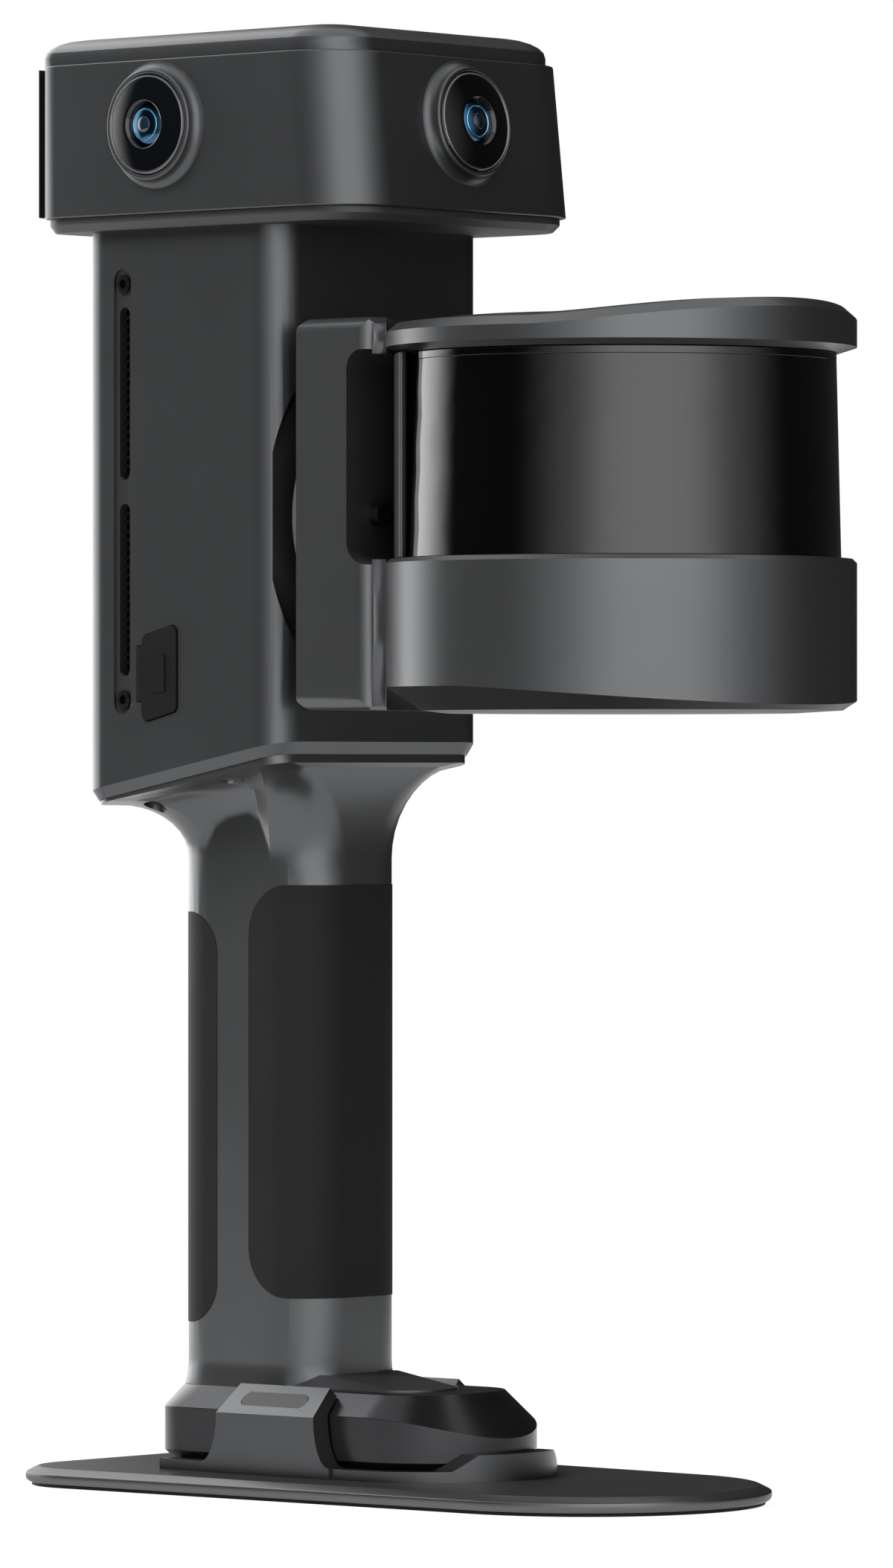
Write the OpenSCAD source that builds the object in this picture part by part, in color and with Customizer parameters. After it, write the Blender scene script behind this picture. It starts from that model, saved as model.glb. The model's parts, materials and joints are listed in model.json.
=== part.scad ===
// Handheld lidar scanner standing in its base.
// +Z is up, -Y is the front, the lidar side. The origin lies on the table under the grip's axis.

/* [Base] */
// Half the width of the base plate at its back
plate_half_w = 48.7; // [44:0.1:54]
// Radius of the round front of the plate
plate_front_r = 44; // [38:0.5:46]
// Distance from the grip's axis forward to the centre of the round front
plate_front_y = 93; // [85:1:100]
// Distance from the grip's axis to the back edge of the plate
plate_rear_y = 53; // [45:1:60]
// Radius of the plate's back corners
plate_corner_r = 20; // [10:1:28]
// Thickness of the base plate
plate_t = 3.8; // [3:0.1:6]
// Thickness of the pad under the plate
pad_t = 0.8; // [0.5:0.1:2]
// Thickness of the cradle's floor
cradle_floor_t = 1.6; // [1.2:0.1:3]
// Wall of the cradle beside the foot
cradle_wall = 4.4; // [3.5:0.1:5.5]
// Height of the cradle's low rim above the plate
cradle_rim_h = 2.5; // [2.2:0.1:4]
// Height of the front stop lip above the plate
cradle_lip_h = 6.3; // [5:0.1:7]
// Length of a claw along the foot
claw_len = 31; // [24:1:36]
// Clearance round the foot in the cradle
foot_gap = 0.4; // [0.3:0.05:0.6]
// Vertical clearance under and over the foot in the cradle
slide_gap = 0.3; // [0.2:0.05:0.5]

/* [Foot] */
// Half the width of the foot
foot_half_w = 25; // [24:0.1:26]
// Distance from the grip's axis to the foot's back face
foot_rear = 23.6; // [23.5:0.1:26]
// Height of the foot
foot_h = 17.9; // [16:0.1:20]
// Distance from the grip's axis forward to the centre of the round nose
nose_y = 45.4; // [42:0.1:48]
// Chamfer on the foot's upper edge
foot_chamfer = 5.2; // [4.8:0.1:5.6]

/* [Grip] */
// Half the width of the grip, side to side
grip_half_w = 18.7; // [17.5:0.1:21]
// Half the depth of the grip, front to back
grip_half_d = 23.3; // [22:0.1:24]
// Radius of the grip's long edges
grip_r = 13; // [11:0.5:15]
// Wall of the grip
grip_wall = 2.4; // [2:0.1:2.7]
// Height of the neck's upper plane above the foot, on the grip's axis
grip_h = 146; // [135:0.1:160]
// Height of the neck's flare
neck_h = 18.5; // [16:0.5:22]
// Depth of the rubber grip pads
grip_pad_t = 1.2; // [0.8:0.1:1.4]

/* [Body] */
// Half the width of the body
body_half_w = 37.8; // [36.5:0.1:40]
// Distance from the grip's axis to the body's front face
body_front = 29.9; // [28.5:0.1:31]
// Distance from the grip's axis to the body's back face
body_back = 34.3; // [33:0.1:38]
// Height of the body above the neck's plane, on the grip's axis
body_h = 130.6; // [126:0.1:140]
// Radius of the body's upright edges
body_r = 8; // [6:0.5:9]
// Wall of the body's sides
body_wall = 2.6; // [2.2:0.1:3]
// Wall of the body's front, which carries the drive
body_front_wall = 6; // [5.5:0.1:7]
// Slope of the body's lower edge, rise per unit of length
neck_slope = 0.19; // [0.1:0.01:0.22]
// Height of the chamfer along the body's lower edge
band_h = 2.6; // [2:0.1:4]
// Depth of the rear cover, from its seam to the back face
rear_cover_d = 7.4; // [6.5:0.1:8]

/* [Arm] */
// Distance of the arm's turning axis below the body's top
arm_drop = 69; // [67:0.5:72]
// Radius of the dish round the hub
dish_r = 43.3; // [40:0.1:45]
// Depth of the dish
dish_depth = 3; // [2:0.1:3.4]
// Radius of the hub flange
hub_r = 30; // [26:0.5:32]
// Half the width of the bracket block
bracket_half_w = 40; // [38:0.5:42]
// Half the height of the bracket block
bracket_half_h = 46; // [44:0.5:47]
// Distance from the grip's axis forward to the bracket's back face
bracket_back = 38; // [36:0.5:40]
// Depth of the bracket block at its sides
bracket_d = 23; // [20:0.5:25]
// Distance from the grip's axis forward to the rear of the cup's circle
cup_rear = 49.2; // [47.5:0.1:54]
// Wall of the cup and the cap, beyond the puck's foot
cup_wall = 3.7; // [3.1:0.1:5.6]
// Height of the cap over its lower edge, at the front
cap_h = 11; // [9.5:0.1:13]

/* [Lidar puck] */
// Radius of the puck at its foot
puck_r = 51.4; // [50.5:0.1:51.5]
// Radius of the window's upper edge
puck_top_r = 50.3; // [49:0.1:50.4]
// Height of the puck
puck_h = 75.8; // [74:0.1:78]
// Height of the puck's base below the window
puck_base_h = 28.1; // [26:0.1:30]

/* [Head] */
// Half the width of the head
head_half_w = 44.3; // [43:0.1:48]
// Distance from the grip's axis to the foot of the head's front face
head_front = 58.2; // [56:0.1:62]
// How far the front face leans back over the head's height
head_lean = 4.1; // [0:0.1:5]
// Distance from the grip's axis to the head's back face
head_back = 46.5; // [44:0.1:52]
// Height of the head shell
head_h = 36.7; // [34:0.1:42]
// Radius of the head's front upright edges
head_front_r = 16; // [12:0.5:20]
// Radius of the head's rear upright edges
head_rear_r = 8; // [6:0.5:12]
// Height of the crowned lid
lid_h = 7.8; // [6:0.1:10]
// Wall of the head shell
head_wall = 2.4; // [2:0.1:3]
// Radius of a lens glass
lens_r = 11.85; // [10.5:0.05:12.5]

/* [Hidden] */
$fn = 64;
over = 2;
joint_gap = 0.3;
shaft_gap = 0.05;
seat_gap = 0.1;
corner_steps = 8;
side_steps = 5;
side_bow = 0.05;

// Heights of the stack
plate_top = pad_t + plate_t;
cradle_floor = plate_top + cradle_floor_t;
foot_bottom = cradle_floor + slide_gap;
foot_top = foot_bottom + foot_h;
neck_z = foot_top + grip_h;
body_top = neck_z + body_h;
axis_z = body_top - arm_drop;
body_low = body_h - arm_drop;
cup_r = puck_r + cup_wall;
lidar_y = cup_rear + cup_r;
head_base_t = 3.3;
head_z = body_top + head_base_t;
lid_z = head_z + head_h;

// Base plate
plate_chamfer_w = 3;
plate_chamfer_h = 1.5;
pad_inset = 1.5;
plate_dx = plate_half_w - plate_corner_r;
plate_cy = plate_rear_y - plate_corner_r;
plate_reach = norm([plate_dx, plate_cy + plate_front_y]);
side_a = acos((plate_front_r - plate_corner_r) / plate_reach) - atan2(plate_cy + plate_front_y, plate_dx);

// Foot and cradle
foot_rear_r = 10;
foot_low_chamfer = 2.2;
foot_top_r = 13.5;
foot_top_inset = 0.1;
nose_drop = 4.9;
nose_inset = 5.6;
cradle_half_w = foot_half_w + foot_gap + cradle_wall;
cradle_rear = 15.3;
lip_half_w = 13.5;
lip_ramp = 5.5;
claw_front = 34.9;
claw_rear = claw_front - claw_len;
claw_shoulder = foot_top - foot_chamfer - slide_gap;
claw_overlap = 1.8;
claw_tip_x = foot_half_w - claw_overlap;
claw_rise = cradle_half_w - claw_tip_x;
claw_root_r = 5;
claw_taper = 1.6;
slot_len = 20.8;
slot_w = 4.4;
slot_depth = 1;
screw_r = 1.25;
screw_head_r = 2.6;
screw_head_h = 1.6;

// Grip
grip_flare = 1.1;
grip_flare_h = 6;
pad_proud = 0.15;
front_pad_edge = 3.5;
front_pad_low = 21.5;
front_pad_high = 120.1;
front_pad_r = 12;
rear_pad_edge = 6.7;
rear_pad_low = 14.8;
rear_pad_high = 113.5;
rear_pad_r = 10;
foot_boss_r = 2.8;
foot_boss_x = 12;
foot_boss_y = 16.5;
foot_boss_h = 16.3;
cell_r = 9.2;
cell_len = 65;
cell_pitch = 18.8;
holder_t = 2;
holder_rail_w = 10;
holder_rail_t = 1.8;
holder_z = foot_top + foot_boss_h + joint_gap;

// Neck
neck_rim = 1.4;
neck_rim_slope = 0.02;
neck_lean = 0.117;
neck_span = 24;
neck_inset = 2;
neck_side_h = 8.5;
neck_side_share = 0.42;
neck_screw_x = 26.1;
neck_screw_rear = 20.5;
neck_screw_front = 4.8;
neck_screw_len = 9;

// Body
band_inset = 1.6;
seam_y = body_back - rear_cover_d;
cavity_front = body_front - body_front_wall;
floor_t = 3.4;
rear_wall = 2.5;
rear_screw_x = 29.5;
rear_screw_up = 10.7;
rear_screw_down = 5;
rear_screw_low = body_low - rear_screw_up;
rear_screw_high = arm_drop - rear_screw_down;
rear_boss_r = 3.2;
rear_boss_len = 14;
vent_y = 20;
vent_w = 5.6;
vent_up = 14.9;
vent_down = 9.2;
vent_low = body_low - vent_up;
vent_high = arm_drop - vent_down;
vent_half = (vent_low + vent_high) / 2;
vent_recess = 0.9;
vent_slot_w = 3.3;
vent_slot_ends = 11.95;
vent_slot_len = vent_half - vent_slot_ends;
vent_slot_mid_in = 3.125;
vent_slot_mid = vent_half / 2 - vent_slot_mid_in;
vent_hole_r = 0.75;
vent_pitch = 2.1;
vent_screw_inset = 3.5;
port_y = 7.7;
port_w = 11.2;
port_h = 20.6;
port_up = 24.6;
port_drop = body_low - port_up;
port_corner_r = 1.6;
port_tab_w = 1.9;
port_tab_h = 13;
port_t = 1.5;
port_proud = 0.5;
port_fit = 0.25;
hinge_r = 0.7;
pad_mark_w = 4;
pad_mark_h = 9;
pad_mark_t = 0.3;
socket_w = 9;
socket_h = 3.3;
socket_len = 7.5;
socket_wall = 0.5;
button_up = 19.6;
button_drop = body_low - button_up;
button_r = 5.8;
button_fit = 0.3;
button_proud = 0.7;
button_travel = 0.8;
button_flange = 0.9;
button_flange_t = 1.1;
button_ring_r = 8.2;
button_ring_t = 0.6;
board_half_w = 24;
board_t = 1.6;
board_y = seam_y - board_t - 1.1 * joint_gap;
board_up = 11.6;
board_down = 7;
board_low = body_low - board_up;
board_high = arm_drop - board_down;
cover_boss_r = 2.4;
cover_boss_x = 20;

// Drive
shaft_r = 12;
shaft_bore_r = 2.5;
bearing_r = 17;
bearing_w = 7;
can_r = 28;
can_wall = 2;
can_web = 8;
can_len = 30;
stator_in_r = 18.5;
stator_teeth = 12;
stator_slot_w = 3;
stator_slot_d = 5;
stator_len = 11;
encoder_r = 15;
encoder_t = 1.2;
slip_r = 9;
slip_len = 13;
slip_flange_r = 24;
slip_flange_t = 1.5;
slip_post_r = 1.8;
slip_post_ring = 21.5;
can_front = cavity_front;
can_back = can_front - can_len;
encoder_z = can_back - 2 * joint_gap - encoder_t;
tail_z = encoder_z - joint_gap;

// Arm
bracket_front = bracket_back + bracket_d;
bracket_edge_r = 4.5;
bracket_corner_r = 3.5;
cup_fit = 0.05;
opening_low = 12;
opening_high = 38.4;
opening_edge = 53.8;
opening_top_r = 4.5;
opening_low_r = 5.6;
bracket_chamfer = 2;
bracket_bolt_r = 20.4;
bolt_r = 1.6;
bolt_head_r = 2.8;
bolt_head_h = 2.6;
bolt_socket_r = 1.4;
puck_drop = 38.7;
puck_z = axis_z - puck_drop;
puck_top_z = puck_z + puck_h;
rim_z = puck_z + puck_base_h - 2 * seat_gap;
cup_in_r = puck_r + 4 * seat_gap;
cover_top = puck_z - 1.3;
cover_chamfer = 1.8;
cover_shoulder = 14;
cover_screw_in = 3.5;
cover_screw_len = 5.5;
cover_r = cup_r - cover_shoulder - seat_gap;
cover_screw_ring = cover_r - cover_screw_in;
cover_ledge = 7;
cover_t = 2;
cover_pocket_r = cover_r - cover_ledge;
cup_floor = 3;
cap_z = puck_top_z + 2 * seat_gap;
cap_low_chamfer = 1.9;
cap_low_inset = 4.1;
cap_wave_low = 2.8;
cap_chamfer_w = 2.4;
cap_chamfer_h = 2.1;
cap_shoulder = 14;
shield_a = 54;
shield_inset = 2;
shield_r = cup_r - shield_inset;
shield_in_r = puck_r + 3 * seat_gap;
seal_a = 1.3;
seal_inset = 0.5;
seal_r = shield_r - seal_inset;
window_wall = 1.6;
puck_cap_t = 1.7;
spindle_r = 6;
spindle_collar_r = 9;
spindle_collar_h = 2.3;
rotor_r = 42;
rotor_flat = 30;
rotor_lens_r = 9;
rotor_lens_gap = 11;
rotor_lens_t = 2;

// Head
rim_inset = 1.5;
rim_round = 1.7;
cable_half_w = 16;
cable_half_d = 14;
back_plate_d = 2.5;
back_plate_gap = 0.6;
lid_inset = 1.8;
lid_wall = 2.4;
lid_side_h = 2;
lid_shoulder_w = 12;
lid_crown = 1;
lens_drop = 15.8;
lens_y = 2.8;
bezel_neck = 1.35;
bezel_fair_h = 2.6;
bezel_base = 3.55;
bezel_h = 3.4;
bezel_depth = 4.5;
glass_edge = 1.6;
glass_dome = 1.8;
barrel_r = 10.5;
barrel_len = 15;
barrel_lens_r = 5.8;
barrel_lens_h = 2.6;
camera_board_w = 25;
lean_a = atan2(head_lean, head_h);
lens_z = lid_z - lens_drop;
lens_front = head_front - head_lean * (lens_z - head_z) / head_h;

cradle_screw_x = 9.5;
cradle_screw_rear = 10;
cradle_screw_front_x = 12;
cradle_screw_front = 55;
claw_face_x = cradle_half_w + 0.2 * cradle_wall;
claw_t = 2.9;
claw_knee = claw_shoulder + 0.1;
claw_low = foot_top - foot_chamfer + 0.15;
claw_root_h = 12;
foot_sink = 7;
neck_far = 0.02;
nose_top_r = foot_half_w - foot_chamfer - nose_inset - 0.4;
ramp_t = 0.4;
ramp_h = 3.3;
ramp_front = 48.8;
grip_room = 125.2;
cable_r = 7;
vent_shift = (vent_high - vent_low) / 2;
vent_screw_r = 2.2;
vent_socket_r = 1.2;
vent_socket_d = 1.2;
port_skew = 1;
roof_t = 3;
bearing_front = 24.9;
bearing_boss = 3;
hub_waist = 3;
dish_flat_r = 39;
rear_rim = 4;
grille_t = 0.7;
button_back = 1;
spacer_len = body_back - rear_wall - board_y - board_t;
sink_half_w = 18;
sink_low = 34;
sink_base = 2;
sink_h = 22;
fin_t = 1.2;
fin_len = 7;
fan_y = board_y - sink_base - fin_len;
fan_up = 45;
fan_half = 12.5;
fan_t = 8;
fan_back = 1.5;
fan_edge = 1.2;
fan_hub_r = 5;
fan_blade = 4;
fan_pitch_a = 35;
imu_half_w = 9;
imu_shift = 10;
imu_h = 4;
stator_z = 3;
shaft_back = can_back - 2.9;
slip_z = tail_z - slip_flange_t - 1.2;
hub_z = body_front - dish_depth + joint_gap;
bolt_seat = 8;
ear_len = 6;
ear_x = 29.3;
rim_chamfer = 1;
wave_power = 1.3;
cap_wave = 4.6;
cap_reach = 72;
cap_tilt = 0.03;
cup_depth = 8.1;
cover_base = puck_z - cup_depth;
cover_rise = 0.6;
cover_skirt = 0.7;
cover_wave = 4.3;
cover_reach = 95;
puck_floor = 4;
rotor_h = 60;
rotor_web = 5;
rotor_wall = 4;
rotor_lens_up = 45;
bezel_in_r = lens_r - 0.2;
antenna_r = 10;
plate_screw_in = 6;

function arc(cx, cy, r, a0, a1, n) = [
    for (i = [0:n]) [cx + r * cos(a0 + (a1 - a0) * i / n), cy + r * sin(a0 + (a1 - a0) * i / n)]
];
function outline(x, front, back, rf, rb, n = corner_steps) = concat(
    arc(x - rb, back - rb, rb, 0, 90, n),
    arc(rb - x, back - rb, rb, 90, 180, n),
    arc(rf - x, rf - front, rf, 180, 270, n),
    arc(x - rf, rf - front, rf, 270, 360, n)
);
function span(a, b) = [
    for (i = [1:side_steps]) let (p = a + (b - a) * i / (side_steps + 1))
    [p.x + sign(p.x) * side_bow * sin(180 * i / (side_steps + 1)), p.y]
];
function corner(p, k, m) = [for (i = [0:m - 1]) p[k * m + i]];
function fine(p, m) = concat(
    corner(p, 0, m), corner(p, 1, m), span(p[2 * m - 1], p[2 * m]),
    corner(p, 2, m), corner(p, 3, m), span(p[4 * m - 1], p[0])
);
function lift(pts, z) = [for (p = pts) [p.x, p.y, z]];
function tilt(pts, z) = [for (p = pts) [p.x, p.y, z - neck_slope * p.y]];
function plate_ring(s, z) = lift(concat(
    arc(plate_dx, plate_cy, plate_corner_r - s, -side_a, 90, corner_steps),
    arc(-plate_dx, plate_cy, plate_corner_r - s, 90, 180 + side_a, corner_steps),
    arc(0, -plate_front_y, plate_front_r - s, 180 + side_a, 360 - side_a, 5 * corner_steps)
), z);

module loft(rings) {
    n = len(rings[0]);
    m = len(rings);
    sides = [
        for (k = [0:m - 2], i = [0:n - 1], t = [0, 1])
        let (j = (i + 1) % n, a = k * n, b = (k + 1) * n)
        t == 0 ? [a + i, b + i, b + j] : [a + i, b + j, a + j]
    ];
    low = [for (i = [0:n - 1]) i];
    high = [for (i = [0:n - 1]) m * n - 1 - i];
    polyhedron(points = [for (r = rings, p = r) p], faces = concat([low], sides, [high]));
}
module slab(x, front, back, r) {
    translate([-x, r - front]) square([2 * x, front + back - 2 * r]);
    translate([r - x, -front]) square([2 * (x - r), front + back]);
    for (sx = [-1, 1], y = [r - front, back - r]) translate([sx * (x - r), y]) circle(r);
}
module from_side(w) {
    rotate([90, 0, 90]) linear_extrude(w, center = true) children();
}
module drive(z) {
    translate([0, 0, axis_z]) rotate([90, 0, 0]) translate([0, 0, z]) children();
}
module at_lidar(z) {
    translate([0, -lidar_y, z]) children();
}
module ring(r, r_in, h) {
    difference() {
        cylinder(h = h, r = r);
        translate([0, 0, -over]) cylinder(h = h + 2 * over, r = r_in);
    }
}
module sunk_screw(len) {
    cylinder(h = screw_head_h, r1 = screw_head_r, r2 = screw_r);
    cylinder(h = len, r = screw_r);
}
module sunk_hole(len, fit = joint_gap / 3) {
    translate([0, 0, -over]) cylinder(h = over, r = screw_head_r + fit);
    cylinder(h = screw_head_h, r1 = screw_head_r + fit, r2 = screw_r + fit);
    cylinder(h = len, r = screw_r + fit);
}
module sector(r, a) {
    polygon([[0, 0], [-r * tan(a), r], [r * tan(a), r]]);
}

// Base
cradle_spots = [
    [cradle_half_w - cradle_screw_x, cradle_screw_rear], [cradle_screw_x - cradle_half_w,
        cradle_screw_rear],
    [cradle_screw_front_x, -cradle_screw_front], [-cradle_screw_front_x, -cradle_screw_front]
];
module base_pad() {
    color("dimgray") loft([plate_ring(pad_inset, 0), plate_ring(pad_inset, pad_t)]);
}
module base_plate() {
    color("slategray") difference() {
        loft([
            plate_ring(pad_t, pad_t), plate_ring(0, 2 * pad_t),
            plate_ring(0, plate_top - plate_chamfer_h), plate_ring(plate_chamfer_w, plate_top)
        ]);
        for (p = cradle_spots) translate([p.x, p.y, pad_t]) sunk_hole(plate_t + over);
    }
}
module cradle_outer() {
    translate([-cradle_half_w, -nose_y]) square([2 * cradle_half_w, nose_y + cradle_rear]);
    translate([0, -nose_y]) circle(cradle_half_w);
}
module foot_room() {
    translate([-foot_half_w - foot_gap, -nose_y])
        square([2 * (foot_half_w + foot_gap), nose_y + foot_rear + cradle_rear]);
    translate([0, -nose_y]) circle(foot_half_w + foot_gap);
}
claw_section = [
    [claw_face_x, plate_top], [claw_face_x, claw_knee], [claw_tip_x, claw_knee + claw_rise],
    [claw_tip_x - claw_t * cos(45), claw_knee + claw_rise - claw_t * cos(45)],
    [foot_half_w + foot_gap, claw_low], [foot_half_w + foot_gap, plate_top]
];
claw_side = concat(
    [[-claw_front - claw_root_r, plate_top]],
    [for (a = [0:15:90]) [-claw_front - claw_root_r * (1 - sin(a)),
        plate_top + cradle_rim_h + claw_root_h * (1 - cos(a))]],
    [[claw_taper - claw_front, claw_knee + claw_rise + over],
        [-claw_rear - claw_taper, claw_knee + claw_rise + over]],
    [for (a = [90:-15:0]) [-claw_rear + claw_root_r * (1 - sin(a)),
        plate_top + cradle_rim_h + claw_root_h * (1 - cos(a))]],
    [[-claw_rear + claw_root_r, plate_top]]
);
module claw_slots(depth) {
    slope = atan2(claw_rise, claw_face_x - claw_tip_x);
    for (sx = [-1, 1])
        translate([sx * (claw_face_x + claw_tip_x) / 2, -(claw_front + claw_rear) / 2,
            claw_knee + claw_rise / 2])
        rotate([0, sx * (90 - slope), 0]) translate([0, 0, -depth])
            linear_extrude(depth + (depth > slot_depth ? over : 0))
        union() {
            square([slot_w, slot_len - slot_w], center = true);
            for (sy = [-1, 1]) translate([0, sy * (slot_len - slot_w) / 2]) circle(slot_w / 2);
        }
}
module cradle() {
    color("gray") difference() {
        union() {
            translate([0, 0, plate_top]) linear_extrude(cradle_rim_h) cradle_outer();
            intersection() {
                translate([0, 0, plate_top]) linear_extrude(cradle_lip_h) cradle_outer();
                translate([0, -nose_y, 0]) rotate([90, 0, 0]) linear_extrude(2 * cradle_half_w) polygon([
                    [-lip_half_w - lip_ramp, 0], [-lip_half_w - lip_ramp, plate_top + cradle_rim_h],
                    [-lip_half_w, plate_top + cradle_lip_h], [lip_half_w, plate_top + cradle_lip_h],
                    [lip_half_w + lip_ramp, plate_top + cradle_rim_h], [lip_half_w + lip_ramp, 0]
                ]);
            }
            intersection() {
                for (sx = [0, 1]) mirror([sx, 0, 0]) translate([0, cradle_rear, 0]) rotate([90, 0, 0])
                    linear_extrude(2 * claw_front) polygon(claw_section);
                from_side(3 * cradle_half_w) polygon(claw_side);
            }
        }
        translate([0, 0, cradle_floor]) linear_extrude(cradle_lip_h) foot_room();
        claw_slots(slot_depth + seat_gap);
        for (p = cradle_spots) translate([p.x, p.y, 0]) cylinder(h = cradle_floor - joint_gap,
            r = screw_r + joint_gap / 3);
    }
}
module claw_inserts() {
    color("black") claw_slots(slot_depth);
}
module cradle_screws() {
    color("silver") for (p = cradle_spots) translate([p.x, p.y, pad_t])
        sunk_screw(cradle_floor - pad_t - 2 * joint_gap);
}

// Foot and grip
function foot_ring(s, z, back, r, nose_s, nose_z) = concat(
    lift(arc(foot_half_w - s - r, back - r, r, 0, 90, corner_steps), z),
    lift(arc(s + r - foot_half_w, back - r, r, 90, 180, corner_steps), z),
    [for (i = [0:4 * corner_steps]) let (a = 180 + 45 * i / corner_steps, w = pow(-sin(a), 2),
        n = foot_half_w - s - w * nose_s)
        [n * cos(a), n * sin(a) - nose_y, z - w * nose_z]]
);
module foot() {
    color("dimgray") difference() {
        loft([
            foot_ring(foot_low_chamfer, foot_bottom, foot_rear - foot_low_chamfer,
                foot_rear_r - foot_low_chamfer, 0, 0),
            foot_ring(0, foot_bottom + foot_low_chamfer, foot_rear, foot_rear_r, 0, 0),
            foot_ring(0, foot_top - foot_chamfer, foot_rear, foot_rear_r, 0, nose_drop),
            foot_ring(foot_chamfer, foot_top, foot_rear - foot_top_inset, foot_top_r, nose_inset, 0)
        ]);
        for (sx = [-1, 1], sy = [-1, 1]) translate([sx * foot_boss_x, sy * foot_boss_y, foot_bottom]) {
            cylinder(h = foot_sink, r = bolt_head_r + joint_gap);
            cylinder(h = foot_h + over, r = bolt_r + joint_gap / 3);
        }
    }
}
module foot_screws() {
    color("silver") for (sx = [-1, 1], sy = [-1, 1])
        translate([sx * foot_boss_x, sy * foot_boss_y, foot_bottom + foot_sink])
        difference() {
            union() {
                translate([0, 0, -bolt_head_h]) cylinder(h = bolt_head_h, r = bolt_head_r);
                cylinder(h = foot_h, r = bolt_r);
            }
            translate([0, 0, -bolt_head_h - over]) cylinder(h = over + bolt_head_h / 2,
                r = bolt_socket_r, $fn = 6);
        }
}
grip_line = fine(outline(grip_half_w, grip_half_d, grip_half_d, grip_r, grip_r), corner_steps + 1);
neck_front = body_front - neck_inset;
neck_back = body_back - neck_inset;
neck_line = fine(outline(body_half_w - neck_inset, neck_front, neck_back, body_r - neck_inset,
    body_r - neck_inset), corner_steps + 1);
function rim_drop(y) = neck_slope * y + neck_rim - neck_rim_slope * y;
function side_weight(b) =
    abs(b.x) < body_half_w - neck_inset - joint_gap ? 0 : max(0,
        1 - pow((b.y - (body_back - body_front) / 2) / neck_span, 4));
function neck_ring(t) = [
    for (i = [0:len(grip_line) - 1])
    let (
        g = grip_line[i], b = neck_line[i], w = side_weight(b),
        h = ((neck_h - neck_lean * b.y) * (1 - w) + neck_side_h * w) * (1 - t),
        s = (1 - neck_far - w * neck_side_share) * (1 - sqrt(1 - t * t)),
        y = g.y + s * (b.y - g.y)
    )
    [g.x + s * (b.x - g.x), y, neck_z - rim_drop(y) - h]
];
function grip_ring(f, z) = lift(fine(outline(
    grip_half_w + grip_flare * f, grip_half_d + grip_flare / 6 * f, grip_half_d + grip_flare / 6 * f,
        grip_r, grip_r
), corner_steps + 1), z);
module handle_shell() {
    color("slategray") difference() {
        union() {
            loft(concat(
                [for (k = [0:3]) grip_ring(pow(1 - k / 3, 2), foot_top + grip_flare_h * k / 3)],
                [for (t = [0, 0.15, 0.3, 0.45, 0.6, 0.72, 0.82, 0.9, 0.96, 1]) neck_ring(t)],
                [[for (b = neck_line) [b.x, b.y, neck_z - rim_drop(b.y)]], tilt(neck_line, neck_z)]
            ));
            hull() {
                translate([0, nose_top_r - ramp_front, foot_top]) cylinder(h = ramp_t, r = nose_top_r,
                    $fn = 32);
                translate([-grip_half_w, -grip_half_d, foot_top])
                    cube([2 * grip_half_w, grip_half_d - grip_r, ramp_t]);
                translate([-grip_r, -grip_half_d, foot_top]) cube([2 * grip_r, grip_r / 2, ramp_h]);
            }
        }
        translate([0, 0, foot_top - over]) linear_extrude(grip_room + over) difference() {
            slab(grip_half_w - grip_wall, grip_half_d - grip_wall, grip_half_d - grip_wall,
                grip_r - grip_wall);
        }
        cylinder(h = neck_z + body_front, r = cable_r);
        pad_groove_front();
        pad_groove_rear();
        at_neck_spots() {
            sunk_hole(neck_screw_len);
            translate([0, 0, -neck_side_h]) cylinder(h = neck_side_h, r = screw_head_r + seat_gap);
        }
    }
    color("slategray") for (sx = [-1, 1], sy = [-1, 1])
        translate([sx * foot_boss_x, sy * foot_boss_y, foot_top]) difference() {
        cylinder(h = foot_boss_h, r = foot_boss_r);
        translate([0, 0, -over]) cylinder(h = foot_boss_h, r = bolt_r + joint_gap / 3);
    }
}
module at_neck_spots() {
    for (p = neck_spots) translate([p.x, p.y, neck_z - rim_drop(p.y)]) neck_tilt() children();
}
module neck_tilt() {
    rotate([-atan(neck_slope), 0, 0]) children();
}
neck_spots = [
    [neck_screw_x, neck_screw_rear], [-neck_screw_x, neck_screw_rear],
    [neck_screw_x, -neck_screw_front], [-neck_screw_x, -neck_screw_front]
];
module pad_shell(grow) {
    difference() {
        slab(grip_half_w + grow, grip_half_d + grow, grip_half_d + grow, grip_r + grow);
        slab(grip_half_w - grip_pad_t, grip_half_d - grip_pad_t, grip_half_d - grip_pad_t,
            grip_r - grip_pad_t);
    }
}
module pad_side(edge, low, high, r) {
    translate([edge + r, low]) square([2 * grip_half_d, high - low]);
    translate([edge, low + r]) square([r + over, high - low - 2 * r]);
    for (z = [low + r, high - r]) translate([edge + r, z]) circle(r);
}
module pad_groove_front() {
    intersection() {
        translate([0, 0, foot_top]) linear_extrude(grip_h) pad_shell(over);
        from_side(3 * grip_half_w) mirror([1, 0]) translate([0, foot_top])
            pad_side(front_pad_edge, front_pad_low, front_pad_high, front_pad_r);
    }
}
module pad_groove_rear() {
    intersection() {
        translate([0, 0, foot_top]) linear_extrude(grip_h) pad_shell(over);
        from_side(3 * grip_half_w) translate([0, foot_top]) pad_side(rear_pad_edge, rear_pad_low,
            rear_pad_high, rear_pad_r);
    }
}
module grip_pad_front() {
    color("black") intersection() {
        translate([0, 0, foot_top]) linear_extrude(grip_h) pad_shell(pad_proud);
        from_side(3 * grip_half_w) mirror([1, 0]) translate([0, foot_top])
            pad_side(front_pad_edge, front_pad_low, front_pad_high, front_pad_r);
    }
}
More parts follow.
